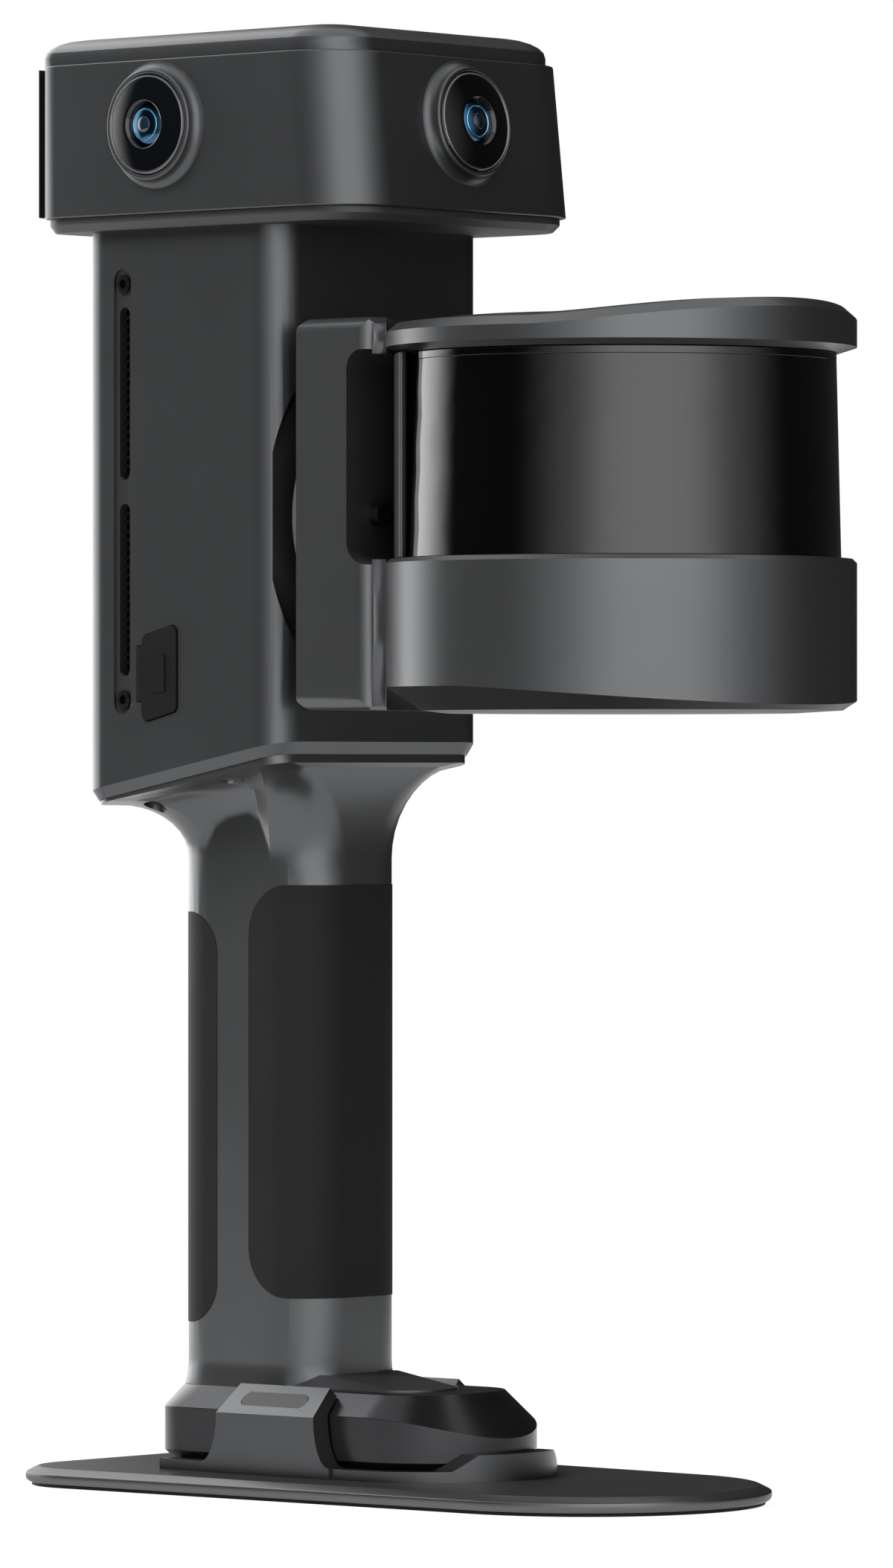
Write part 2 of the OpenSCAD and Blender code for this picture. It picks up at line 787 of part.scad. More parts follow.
module grip_pad_rear() {
    color("black") intersection() {
        translate([0, 0, foot_top]) linear_extrude(grip_h) pad_shell(pad_proud);
        from_side(3 * grip_half_w) translate([0, foot_top]) pad_side(rear_pad_edge, rear_pad_low,
            rear_pad_high, rear_pad_r);
    }
}
module battery_holder() {
    color("dimgray") {
        for (z = [0, cell_len + holder_t]) translate([0, 0, holder_z + z]) linear_extrude(holder_t)
            slab(grip_half_w - grip_wall - joint_gap, grip_half_d - grip_wall - joint_gap,
                grip_half_d - grip_wall - joint_gap, grip_r - grip_wall - joint_gap);
        for (sx = [-1, 1]) translate([sx * (cell_r + holder_rail_t) - holder_rail_t / 2,
            -holder_rail_w / 2, holder_z + holder_t])
            cube([holder_rail_t, holder_rail_w, cell_len]);
    }
}
module battery_cells() {
    color("steelblue") for (sy = [-1, 1]) translate([0, sy * cell_pitch / 2, holder_z + holder_t])
        cylinder(h = cell_len, r = cell_r);
}
module neck_screws() {
    color("silver") at_neck_spots() sunk_screw(neck_screw_len - 2 * joint_gap);
}

// Body
module body_outline(s) {
    slab(body_half_w - s, body_front - s, body_back - s, body_r - s);
}
module body_block() {
    loft([
        tilt(outline(body_half_w - band_inset, body_front - band_inset, body_back - band_inset,
            body_r - band_inset, body_r - band_inset), neck_z),
        tilt(outline(body_half_w, body_front, body_back, body_r, body_r), neck_z + band_h),
        lift(outline(body_half_w, body_front, body_back, body_r, body_r), body_top)
    ]);
}
module vent_holes() {
    for (sz = [-1, 1]) translate([0, vent_y, axis_z + vent_shift + sz * vent_slot_mid])
        rotate([0, 90, 0]) translate([0, 0, -2 * body_half_w]) linear_extrude(4 * body_half_w) union() {
            square([vent_slot_len - vent_slot_w, vent_slot_w], center = true);
            for (s = [-1, 1]) translate([s * (vent_slot_len - vent_slot_w) / 2, 0]) circle(vent_slot_w / 2);
        }
}
module vent_strip(w, fit) {
    rotate([90, 0, 90]) linear_extrude(w) translate([vent_y, 0]) {
        translate([-vent_w / 2 - fit, axis_z - vent_low + vent_w / 2])
            square([vent_w + 2 * fit, vent_low + vent_high - vent_w]);
        for (z = [axis_z - vent_low + vent_w / 2, axis_z + vent_high - vent_w / 2]) translate([0, z])
            circle(vent_w / 2 + fit);
    }
}
module port_face(fit) {
    r = port_corner_r + fit;
    a = port_w / 2 - port_corner_r;
    b = port_h / 2 - port_corner_r;
    translate([port_y, axis_z - port_drop]) polygon(concat(
        arc(-a, port_skew - b, r, 180, 270, 4), arc(a, -port_skew - b, r, 270, 360, 4),
        arc(a, b - port_skew, r, 0, 90, 4), arc(-a, b + port_skew, r, 90, 180, 4)
    ));
}
rear_spots = [
    [rear_screw_x, axis_z + rear_screw_high], [-rear_screw_x, axis_z + rear_screw_high],
    [rear_screw_x, axis_z - rear_screw_low], [-rear_screw_x, axis_z - rear_screw_low]
];
module body_shell() {
    color("slategray") difference() {
        union() {
            difference() {
                body_block();
                translate([-body_half_w - over, seam_y, 0])
                    cube([2 * (body_half_w + over), body_back, body_top + over]);
                intersection() {
                    translate([0, 0, neck_z - body_back]) linear_extrude(body_h + body_back - roof_t)
                        slab(body_half_w - body_wall, body_front - body_front_wall, body_back + over,
                            body_r - body_wall);
                    from_side(3 * body_half_w) polygon([
                        [-body_front, neck_z + floor_t + neck_slope * body_front], [-body_front, body_top],
                        [body_back + 2 * over, body_top],
                            [body_back + 2 * over, neck_z + floor_t - neck_slope * (body_back + 2 * over)]
                    ]);
                }
            }
            drive(bearing_front - bearing_w) ring(bearing_r + bearing_boss, bearing_r - over,
                can_front - bearing_front + bearing_w + over / 2);
            for (sx = [0, 1], p = rear_spots) mirror([sx, 0, 0])
                translate([rear_screw_x - rear_boss_r, seam_y - rear_boss_len, p[1] - rear_boss_r])
                cube([body_half_w - rear_screw_x + rear_boss_r - body_wall / 2, rear_boss_len,
                    2 * rear_boss_r]);
        }
        drive(body_front - dish_depth) cylinder(h = dish_depth + over, r = dish_flat_r, $fn = 128);
        drive(body_front - dish_depth) cylinder(h = dish_depth, r1 = dish_flat_r, r2 = dish_r, $fn = 128);
        drive(can_front - over) cylinder(h = body_front, r = shaft_r + joint_gap);
        drive(bearing_front - bearing_w - over) cylinder(h = bearing_w + over, r = bearing_r);
        for (sx = [0, 1]) mirror([sx, 0, 0]) translate([body_half_w - vent_recess, 0, 0])
            vent_strip(over, 0);
        vent_holes();
        for (sx = [-1, 1], z = vent_spots) translate([0, vent_y, z]) rotate([0, sx * 90, 0])
            cylinder(h = body_half_w, r = vent_screw_r);
        translate([-body_half_w - over, 0, 0]) rotate([90, 0, 90]) linear_extrude(over + port_t)
            port_face(port_fit);
        translate([-body_half_w - over, port_y + port_w / 2,
            axis_z - port_drop - port_tab_h / 2 - port_fit]) cube([over + port_t, port_tab_w + port_fit,
            port_tab_h + 2 * port_fit]);
        translate([-body_half_w, port_y - socket_h / 2 - socket_wall,
            axis_z - port_drop - socket_w / 2 - socket_wall])
            cube([2 * body_wall, socket_h + 2 * socket_wall, socket_w + 2 * socket_wall]);
        for (p = rear_spots) translate([p.x, seam_y + over, p[1]]) rotate([90, 0, 0])
            cylinder(h = rear_boss_len, r = screw_r + joint_gap / 3);
        at_neck_spots() sunk_hole(neck_screw_len);
        cylinder(h = body_top, r = cable_r);
        translate([-cable_half_w, -cable_half_d, body_top - 2 * roof_t])
            cube([2 * cable_half_w, 2 * cable_half_d, 3 * roof_t]);
    }
}
vent_spots = [axis_z + vent_high - vent_screw_inset, axis_z - vent_low + vent_screw_inset];
module rear_cover() {
    color("slategray") difference() {
        intersection() {
            body_block();
            translate([-body_half_w - over, seam_y + seat_gap, 0])
                cube([2 * (body_half_w + over), body_back, body_top + over]);
        }
        intersection() {
            translate([-body_half_w + rear_rim, seam_y - over, neck_z])
                cube([2 * (body_half_w - rear_rim), over + rear_cover_d - rear_wall, body_h - rear_rim]);
            translate([0, 0, rear_rim]) body_block();
        }
        for (p = rear_spots) translate([p.x, body_back, p[1]]) rotate([90, 0, 0])
            sunk_hole(rear_cover_d + over);
        translate([0, body_back + over, axis_z - button_drop]) rotate([90, 0, 0])
            cylinder(h = rear_cover_d, r = button_r + button_fit);
        translate([0, body_back + over, axis_z - button_drop]) rotate([90, 0, 0])
            cylinder(h = over + button_ring_t, r = button_ring_r);
    }
    color("slategray") for (p = rear_spots) translate([p.x, seam_y + seat_gap, p[1]]) rotate([-90, 0, 0])
        ring(rear_boss_r, screw_r + joint_gap / 3, rear_cover_d - rear_wall - seat_gap);
}
module rear_cover_screws() {
    color("silver") for (p = rear_spots) translate([p.x, body_back, p[1]]) rotate([90, 0, 0])
        sunk_screw(rear_cover_d + rear_boss_len / 2);
}
module vent_grille() {
    difference() {
        translate([body_half_w - body_wall - grille_t, vent_y - vent_w / 2,
            axis_z - vent_low + 2 * vent_screw_inset]) cube([grille_t, vent_w,
            vent_low + vent_high - 4 * vent_screw_inset]);
        for (sz = [-1, 1], k = [-9:9], s = [-1, 1])
            translate([body_half_w, vent_y + s * vent_pitch / 4,
                axis_z + vent_shift + sz * vent_slot_mid + k * vent_pitch + s * vent_pitch / 4])
            rotate([0, -90, 0]) cylinder(h = 2 * body_wall, r = vent_hole_r, $fn = 6);
    }
}
module vent_grille_left() {
    color("black") mirror([1, 0, 0]) vent_grille();
}
module vent_grille_right() {
    color("black") vent_grille();
}
module vent_screws() {
    color("silver") for (sx = [-1, 1], z = vent_spots)
        translate([sx * (body_half_w - joint_gap / 2), vent_y, z]) rotate([0, -sx * 90, 0]) difference() {
            cylinder(h = body_wall, r = vent_screw_r);
            translate([0, 0, -over]) cylinder(h = over + vent_socket_d, r = vent_socket_r, $fn = 6);
        }
}
module port_cover() {
    color("black") {
        translate([-body_half_w - port_proud, 0, 0]) rotate([90, 0, 90]) linear_extrude(port_t)
            port_face(0);
        translate([-body_half_w - port_proud, port_y + port_w / 2, axis_z - port_drop - port_tab_h / 2])
            cube([port_t, port_tab_w - hinge_r, port_tab_h]);
        translate([hinge_r - body_half_w - port_proud, port_y + port_w / 2 + port_tab_w - hinge_r,
            axis_z - port_drop - port_tab_h / 2]) cylinder(h = port_tab_h, r = hinge_r);
        translate([-body_half_w - port_proud - pad_mark_t, port_y - pad_mark_w / 2,
            axis_z - port_drop - pad_mark_h / 2]) cube([pad_mark_t, pad_mark_w, pad_mark_h]);
    }
}
module port_socket() {
    color("silver") difference() {
        translate([port_t + joint_gap - body_half_w, port_y - socket_h / 2 - socket_wall,
            axis_z - port_drop - socket_w / 2 - socket_wall]) cube([socket_len,
            socket_h + 2 * socket_wall, socket_w + 2 * socket_wall]);
        translate([-body_half_w, port_y - socket_h / 2, axis_z - port_drop - socket_w / 2])
            cube([socket_len, socket_h, socket_w]);
    }
}
module power_button() {
    color("black") translate([0, body_back + button_proud, axis_z - button_drop]) rotate([90, 0, 0]) {
        cylinder(h = button_proud + rear_wall + button_back, r = button_r);
        translate([0, 0, button_proud + rear_wall + joint_gap / 3])
            cylinder(h = button_flange_t, r = button_r + button_fit + button_flange);
    }
}
module button_ring() {
    color("silver") translate([0, body_back, axis_z - button_drop]) rotate([90, 0, 0])
        ring(button_ring_r, button_r + button_fit, button_ring_t);
}
module button_switch() {
    color("dimgray") translate([-button_r / 2, board_y + board_t, axis_z - button_drop - button_r / 2])
        cube([
            button_r,
            body_back - rear_wall - button_back - button_travel - joint_gap - board_y - board_t,
            button_r
        ]);
}
module main_board() {
    color("green") difference() {
        translate([-board_half_w, board_y, axis_z - board_low])
            cube([2 * board_half_w, board_t, board_low + board_high]);
    }
    color("dimgray") for (sx = [-1, 1], z = [-board_low, board_high - 2 * cover_boss_r])
        translate([sx * cover_boss_x, board_y, axis_z + z + cover_boss_r])
        translate([0, board_t, 0]) rotate([-90, 0, 0]) cylinder(h = spacer_len, r = cover_boss_r);
}
module heat_sink() {
    color("gray") translate([-sink_half_w, board_y, axis_z + sink_low]) {
        translate([0, -sink_base, 0]) cube([2 * sink_half_w, sink_base, sink_h]);
        for (i = [0:6]) translate([i * (2 * sink_half_w - fin_t) / 6, -sink_base - fin_len, 0])
            cube([fin_t, fin_len + sink_base / 2, sink_h]);
    }
}
module fan_frame() {
    color("black") translate([0, fan_y, axis_z + fan_up]) rotate([90, 0, 0]) {
        difference() {
            translate([-fan_half, -fan_half, 0]) cube([2 * fan_half, 2 * fan_half, fan_t]);
            translate([0, 0, fan_back]) cylinder(h = fan_t, r = fan_half - fan_edge);
            translate([0, 0, -over]) ring(fan_half - 2 * fan_edge, fan_hub_r, 2 * over);
        }
        for (a = [45, 135]) rotate(a) translate([-fan_edge / 2, fan_edge - fan_half, 0])
            cube([fan_edge, 2 * (fan_half - fan_edge), fan_back]);
    }
}
module fan_rotor() {
    color("dimgray") translate([0, fan_y, axis_z + fan_up]) rotate([90, 0, 0])
        translate([0, 0, fan_back + joint_gap]) {
        cylinder(h = fan_t - fan_back - 2 * joint_gap, r = fan_hub_r);
        for (i = [0:6]) rotate(i * 360 / 7) translate([fan_hub_r - fan_edge / 2, 0, fan_t / 3])
            rotate([fan_pitch_a, 0, 0])
            translate([0, -fan_blade / 2, 0]) cube([fan_half - fan_edge - fan_hub_r, fan_blade, fan_edge]);
    }
}
module inertial_sensor() {
    color("silver") translate([0, -imu_shift, neck_z + floor_t + neck_slope * imu_shift]) neck_tilt()
        translate([-imu_half_w, -imu_half_w, 0]) cube([2 * imu_half_w, 2 * imu_half_w, imu_h]);
}

// Drive of the arm
module motor_can() {
    color("gray") drive(can_back) difference() {
        cylinder(h = can_len - joint_gap / 3, r = can_r);
        translate([0, 0, can_web]) cylinder(h = can_len, r = can_r - can_wall);
        translate([0, 0, -over]) cylinder(h = can_web + 2 * over, r = shaft_r + joint_gap);
        translate([0, 0, joint_gap]) cylinder(h = can_web, r = bearing_r);
    }
}
module motor_stator() {
    color("peru") drive(stator_z) difference() {
        ring(can_r - can_wall, stator_in_r, stator_len);
        for (i = [1:stator_teeth]) rotate(i * 360 / stator_teeth)
            translate([stator_in_r - over, -stator_slot_w / 2, -over])
            cube([stator_slot_d + over, stator_slot_w, stator_len + 2 * over]);
    }
}
module motor_rotor() {
    color("dimgray") drive(stator_z) ring(stator_in_r - 2 * joint_gap, shaft_r, stator_len);
}
module drive_shaft() {
    color("silver") drive(shaft_back) ring(shaft_r, shaft_bore_r, bracket_back - shaft_back);
}
module shaft_bearings() {
    color("silver") {
        drive(bearing_front - bearing_w) ring(bearing_r, shaft_r + shaft_gap, bearing_w - seat_gap);
        drive(can_back + joint_gap) ring(bearing_r, shaft_r + shaft_gap, bearing_w);
    }
}
module encoder_disc() {
    color("gold") drive(encoder_z) ring(encoder_r, shaft_r, encoder_t);
}
module slip_ring() {
    color("dimgray") drive(slip_z) {
        cylinder(h = slip_flange_t, r = slip_flange_r);
        translate([0, 0, -slip_len]) cylinder(h = slip_len, r = slip_r);
        for (i = [0:2]) rotate(90 + i * 120) translate([slip_post_ring, 0, 0])
            cylinder(h = can_back - slip_z, r = slip_post_r);
    }
}

// Arm
bolt_ring = [for (a = [45:90:315]) a];
module hub_flange() {
    h = bracket_back - hub_z;
    color("dimgray") drive(hub_z) difference() {
        rotate_extrude($fn = 128) polygon(concat(
            [[shaft_r, 0]], [for (k = [0:6]) [hub_r - hub_waist * sin(30 * k), h * k / 6]], [[shaft_r, h]]
        ));
        for (a = bolt_ring) rotate(a) translate([bracket_bolt_r, 0, -over])
            cylinder(h = bracket_back, r = bolt_r + joint_gap / 3);
    }
}
module bracket_face() {
    x = bracket_half_w;
    z = bracket_half_h;
    r = bracket_corner_r;
    translate([-x, r - z]) square([2 * x, 2 * (z - r)]);
    translate([r - x, -z]) square([2 * (x - r), 2 * z]);
    for (sx = [-1, 1], sz = [-1, 1]) translate([sx * (x - r), sz * (z - r)]) circle(r);
}
bracket_side = [
    [-bracket_back, axis_z - bracket_half_h + bracket_chamfer],
        [-bracket_back, axis_z + bracket_half_h - bracket_chamfer],
    [-bracket_back - bracket_chamfer, axis_z + bracket_half_h], [bracket_chamfer - bracket_front,
        axis_z + bracket_half_h],
    [-bracket_front, axis_z + bracket_half_h - bracket_chamfer],
        [-bracket_front, axis_z - bracket_half_h + bracket_chamfer],
    [bracket_chamfer - bracket_front, axis_z - bracket_half_h], [-bracket_back - bracket_chamfer,
        axis_z - bracket_half_h]
];
opening_side = concat(
    [[-bracket_front - over, axis_z - opening_low], [-bracket_front - over, axis_z + opening_high]],
    arc(-opening_edge - opening_top_r, axis_z + opening_high - opening_top_r, opening_top_r, 90, 0, 6),
    arc(-opening_edge - opening_low_r, axis_z - opening_low + opening_low_r, opening_low_r, 0, -90, 6)
);
module bracket_plan() {
    translate([-bracket_half_w, bracket_edge_r - bracket_front])
        square([2 * bracket_half_w, bracket_d - bracket_edge_r]);
    translate([bracket_edge_r - bracket_half_w, -bracket_front])
        square([2 * (bracket_half_w - bracket_edge_r), bracket_d]);
    for (sx = [-1, 1]) translate([sx * (bracket_half_w - bracket_edge_r),
        bracket_edge_r - bracket_front]) circle(bracket_edge_r);
}
module arm_bracket() {
    color("slategray") difference() {
        intersection() {
            drive(bracket_back) linear_extrude(bracket_d) bracket_face();
            translate([0, 0, axis_z - 2 * bracket_half_h]) linear_extrude(4 * bracket_half_h)
                bracket_plan();
            from_side(3 * bracket_half_w) polygon(bracket_side);
        }
        from_side(3 * bracket_half_w) polygon(opening_side);
        at_lidar(0) cylinder(h = body_top, r = cup_r + cup_fit, $fn = 128);
        for (a = bolt_ring) drive(0) rotate(a) translate([bracket_bolt_r, 0, 0]) {
            cylinder(h = bracket_front, r = bolt_r + joint_gap / 3);
            translate([0, 0, bracket_back + bolt_seat])
                cylinder(h = bracket_front, r = bolt_head_r + joint_gap);
        }
        for (sx = [-1, 1]) drive(opening_edge - ear_len) translate([sx * ear_x, 0, 0])
            cylinder(h = bracket_front, r = bolt_r + joint_gap / 3);
        at_lidar(puck_top_z) translate([0, cup_r - over, -cable_r]) rotate([-90, 0, 0])
            cylinder(h = over, r = shaft_bore_r);
    }
}
module bolt(len) {
    difference() {
        union() {
            cylinder(h = bolt_head_h, r = bolt_head_r);
            translate([0, 0, -len]) cylinder(h = len, r = bolt_r);
        }
        translate([0, 0, bolt_head_h / 2]) cylinder(h = bolt_head_h, r = bolt_socket_r, $fn = 6);
    }
}
module bracket_screws() {
    color("silver") {
        for (a = bolt_ring) drive(bracket_back + bolt_seat) rotate(a) translate([bracket_bolt_r, 0, 0])
            bolt(bolt_seat + bracket_back - hub_z - joint_gap);
        for (sx = [-1, 1]) drive(opening_edge) translate([sx * ear_x, 0, 0]) bolt(ear_len - joint_gap);
    }
}
module lidar_cup() {
    color("slategray") difference() {
        loft([
            wave_ring(cup_r - cover_shoulder, cover_base, 0, 90),
            wave_ring(cup_r - cover_chamfer, cover_base + cover_rise, 0, 90),
            wave_ring(cup_r, cover_top - cover_skirt, -cover_wave, cover_reach),
            wave_ring(cup_r, rim_z - rim_chamfer, 0, 90),
            wave_ring(cup_r - rim_chamfer, rim_z, 0, 90)
        ]);
        at_lidar(puck_z - seat_gap) cylinder(h = body_h, r = cup_in_r, $fn = 128);
        at_lidar(cover_base - over) cylinder(h = over + cover_t, r = cover_r + joint_gap);
        at_lidar(cover_base) cylinder(h = puck_z - seat_gap - cup_floor - cover_base, r = cover_pocket_r);
        at_lidar(cover_base) cylinder(h = body_h, r = cable_r);
        at_cover_screws() cylinder(h = cover_t + cover_screw_len, r = screw_r + joint_gap / 3);
    }
}
module at_cover_screws() {
    for (a = [30:60:330]) at_lidar(cover_base) rotate(a) translate([cover_screw_ring, 0, 0]) children();
}
module rear_shield() {
    color("slategray") at_lidar(rim_z) intersection() {
        ring(shield_r, shield_in_r, cap_z - rim_z, $fn = 128);
        linear_extrude(body_h) sector(2 * cup_r, shield_a);
    }
}
module shield_seals() {
    color("black") at_lidar(rim_z) intersection() {
        ring(seal_r, shield_in_r, cap_z - rim_z, $fn = 128);
        linear_extrude(body_h) difference() {
            sector(2 * cup_r, shield_a + seal_a);
            sector(3 * cup_r, shield_a);
        }
    }
}
wave_n = 96;
function wave_ring(r, z, swing, reach) = [
    for (i = [0:wave_n - 1]) let (a = 360 * i / wave_n, f = abs(a - 270))
    [r * cos(a), r * sin(a) - lidar_y, z + swing * wave(min(f, 360 - f), reach)]
];
function wave(f, reach) = pow(cos(90 * min(f, reach) / reach), wave_power);
module arm_cap() {
    color("slategray") loft([
        wave_ring(cup_r - cap_low_inset, cap_z, 0, 90),
        wave_ring(cup_r, cap_z + cap_low_chamfer, 0, 90),
        wave_ring(cup_r, cap_z + cap_low_chamfer + cap_wave_low, cap_wave, cap_reach),
        wave_ring(cup_r - cap_chamfer_w, cap_z + cap_low_chamfer + cap_wave_low + cap_chamfer_h,
            cap_wave, cap_reach),
        [for (p = wave_ring(cup_r - cap_shoulder, cap_z + cap_h + cap_low_chamfer, 0, 90))
            [p.x, p.y, p.z - cap_tilt * (p.y + lidar_y + cup_r - cap_shoulder)]]
    ]);
}
module arm_bottom_cover() {
    color("slategray") difference() {
        at_lidar(cover_base) cylinder(h = cover_t - seat_gap / 2, r = cover_r, $fn = 128);
        at_cover_screws() sunk_hole(cover_t + over);
    }
}
module arm_cover_screws() {
    color("silver") at_cover_screws() sunk_screw(cover_screw_len);
}

// Lidar puck
module puck_base() {
    color("dimgray") at_lidar(puck_z) difference() {
        cylinder(h = puck_base_h, r = puck_r, $fn = 128);
        translate([0, 0, puck_floor]) cylinder(h = puck_base_h, r = puck_r - window_wall, $fn = 128);
        translate([0, 0, -over]) cylinder(h = puck_floor + 2 * over, r = spindle_r);
    }
}
module puck_window() {
    color("black") at_lidar(puck_z + puck_base_h) difference() {
        cylinder(h = puck_h - puck_base_h - puck_cap_t, r1 = puck_r, r2 = puck_top_r, $fn = 128);
        translate([0, 0, -over]) cylinder(h = puck_h, r = puck_top_r - window_wall, $fn = 128);
    }
}
module puck_top() {
    color("dimgray") at_lidar(puck_top_z - puck_cap_t) difference() {
        cylinder(h = puck_cap_t, r = puck_top_r, $fn = 128);
        translate([0, 0, -over]) cylinder(h = puck_cap_t + 2 * over, r = spindle_r);
    }
}
module puck_spindle() {
    color("silver") at_lidar(puck_z) {
        cylinder(h = puck_h, r = spindle_r);
        translate([0, 0, puck_floor]) cylinder(h = spindle_collar_h, r = spindle_collar_r);
    }
}
module puck_rotor() {
    color("gray") at_lidar(puck_z + puck_floor + spindle_collar_h + joint_gap) difference() {
        intersection() {
            cylinder(h = rotor_h, r = rotor_r);
            translate([-2 * rotor_r, -rotor_flat, 0])
                cube([4 * rotor_r, rotor_flat + 2 * rotor_r, rotor_h]);
        }
        translate([0, 0, -over]) cylinder(h = rotor_h + 2 * over, r = spindle_r + shaft_gap);
        for (s = [-1, 1]) translate([0, -rotor_flat - over, rotor_lens_up + s * rotor_lens_gap])
            rotate([-90, 0, 0])
            cylinder(h = over + rotor_lens_t, r = rotor_lens_r);
        translate([0, 0, rotor_web]) difference() {
            cylinder(h = rotor_h, r = rotor_r - rotor_wall);
            cylinder(h = rotor_h, r = 2 * spindle_r);
            translate([-rotor_r, -rotor_r, -over]) cube([2 * rotor_r, rotor_r, rotor_h + over]);
        }
    }
}

// Head
function head_line(s, z, n = corner_steps) = lift(outline(
    head_half_w - s, head_front - s - head_lean * (z - head_z) / head_h, head_back - back_plate_d - s,
        head_front_r - s, max(head_rear_r - s, 1), n), z);
module head_base() {
    color("dimgray") difference() {
        loft([
            lift(outline(head_half_w - rim_inset - rim_round, head_front - rim_inset - rim_round,
                head_back - back_plate_d - rim_inset, head_front_r - rim_inset - rim_round,
                head_rear_r - rim_round), body_top),
            lift(outline(head_half_w - rim_inset, head_front - rim_inset,
                head_back - back_plate_d - rim_round / 4, head_front_r - rim_inset, head_rear_r),
                body_top + rim_round),
            lift(outline(head_half_w - rim_inset, head_front - rim_inset,
                head_back - back_plate_d - rim_round / 4, head_front_r - rim_inset, head_rear_r), head_z)
        ]);
        translate([-cable_half_w, -cable_half_d, body_top - over])
            cube([2 * cable_half_w, 2 * cable_half_d, head_base_t + 2 * over]);
    }
}
module lens_frame(k) {
    if (k == 0) translate([0, -lens_front, lens_z]) rotate([90 - lean_a, 0, 0]) children();
    if (k == 1) translate([-head_half_w, lens_y, lens_z]) rotate([90, 0, 0]) rotate([0, -90, 0]) children();
    if (k == 2) translate([head_half_w, lens_y, lens_z]) rotate([90, 0, 0]) rotate([0, 90, 0]) children();
}
module head_shell() {
    color("slategray") difference() {
        loft([head_line(0, head_z), head_line(0, lid_z)]);
        loft([
            head_line(head_wall, head_z - over), head_line(head_wall, lid_z + over)
        ]);
        for (k = [0:2]) lens_frame(k) translate([0, 0, -2 * head_wall])
            cylinder(h = 4 * head_wall, r = bezel_in_r);
    }
}
module head_back_plate() {
    color("slategray") difference() {
        translate([0, 0, head_z + back_plate_gap]) linear_extrude(head_h - 2 * back_plate_gap)
            difference() {
            slab(head_half_w - back_plate_gap, 0, head_back, head_rear_r);
            translate([-head_half_w, -over - 1])
                square([2 * head_half_w, head_back - back_plate_d + over + 1]);
        }
        translate([0, head_back, lens_z]) rotate([90, 0, 0]) cylinder(h = over, r = antenna_r);
        for (sx = [-1, 1], z = [head_z + plate_screw_in, lid_z - plate_screw_in])
            translate([sx * (head_half_w - head_rear_r), head_back, z]) rotate([90, 0, 0])
            sunk_hole(back_plate_d + over);
    }
}
module head_lid() {
    color("slategray") difference() {
        loft([
            head_lid_line(lid_inset, lid_z),
            for (a = [0:15:90]) head_lid_line(
                lid_inset + lid_shoulder_w * (1 - cos(a)),
                    lid_z + lid_side_h + (lid_h - lid_crown - lid_side_h) * sin(a)
            ),
            head_lid_line(lid_inset + 2 * lid_shoulder_w, lid_z + lid_h)
        ]);
        translate([0, 0, lid_z - over]) linear_extrude(over + lid_side_h)
            slab(head_half_w - lid_inset - lid_wall - head_wall,
            head_front - head_lean - lid_inset - 2 * lid_wall,
            head_back - back_plate_d - lid_inset - lid_wall, head_rear_r);
    }
}
function head_lid_line(s, z) = lift(outline(
    head_half_w - s, head_front - head_lean - s, head_back - s, max(head_front_r - s, lid_crown),
        max(head_rear_r - s, lid_crown)), z);
bezel_profile = concat(
    [[barrel_r, -bezel_depth], [bezel_in_r - joint_gap / 3, -bezel_depth], [bezel_in_r - joint_gap / 3, 0]],
    [for (a = [0:15:90]) [lens_r + bezel_base - (bezel_base - bezel_neck) * sin(a),
        bezel_fair_h * (1 - cos(a))]],
    [[lens_r + bezel_neck, bezel_h], [lens_r + seat_gap, bezel_h],
        [lens_r + seat_gap, bezel_h - glass_edge], [barrel_r, bezel_h - glass_edge]]
);
module lens_bezels() {
    color("slategray") for (k = [0:2]) lens_frame(k) rotate_extrude() polygon(bezel_profile);
}
module lens_glasses() {
    color("navy") for (k = [0:2]) lens_frame(k) translate([0, 0, bezel_h - glass_edge]) {
        cylinder(h = glass_edge, r = lens_r);
        translate([0, 0, glass_edge]) cylinder(h = glass_dome, r1 = lens_r, r2 = lens_r / 2);
    }
}
module lens_barrels() {
    color("dimgray") for (k = [0:2]) lens_frame(k) difference() {
        translate([0, 0, -barrel_len]) cylinder(h = barrel_len + bezel_h - glass_edge - joint_gap,
            r = barrel_r - joint_gap / 3);
        translate([0, 0, bezel_h - glass_edge - joint_gap - barrel_lens_h])
            cylinder(h = over + barrel_lens_h, r = barrel_lens_r);
    }
}
module camera_boards() {
    color("green") for (k = [0:2]) lens_frame(k)
        translate([-camera_board_w / 2, -camera_board_w / 2, -barrel_len - board_t])
        cube([camera_board_w, camera_board_w, board_t]);
}

base_pad();
base_plate();
cradle();
claw_inserts();
cradle_screws();
foot();
foot_screws();
handle_shell();
grip_pad_front();
grip_pad_rear();
battery_holder();
battery_cells();
neck_screws();
body_shell();
rear_cover();
rear_cover_screws();
vent_grille_left();
vent_grille_right();
vent_screws();
port_cover();
port_socket();
power_button();
button_ring();
button_switch();
main_board();
heat_sink();
fan_frame();
fan_rotor();
inertial_sensor();
motor_can();
motor_stator();
motor_rotor();
drive_shaft();
shaft_bearings();
encoder_disc();
slip_ring();
hub_flange();
arm_bracket();
bracket_screws();
lidar_cup();
rear_shield();
shield_seals();
arm_cap();
arm_bottom_cover();
arm_cover_screws();
puck_base();
puck_window();
puck_top();
puck_spindle();
puck_rotor();
head_base();
head_shell();
head_back_plate();
head_lid();
lens_bezels();
lens_glasses();
lens_barrels();
camera_boards();
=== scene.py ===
import json
import math
import bmesh
import bpy
from mathutils import Matrix, Vector


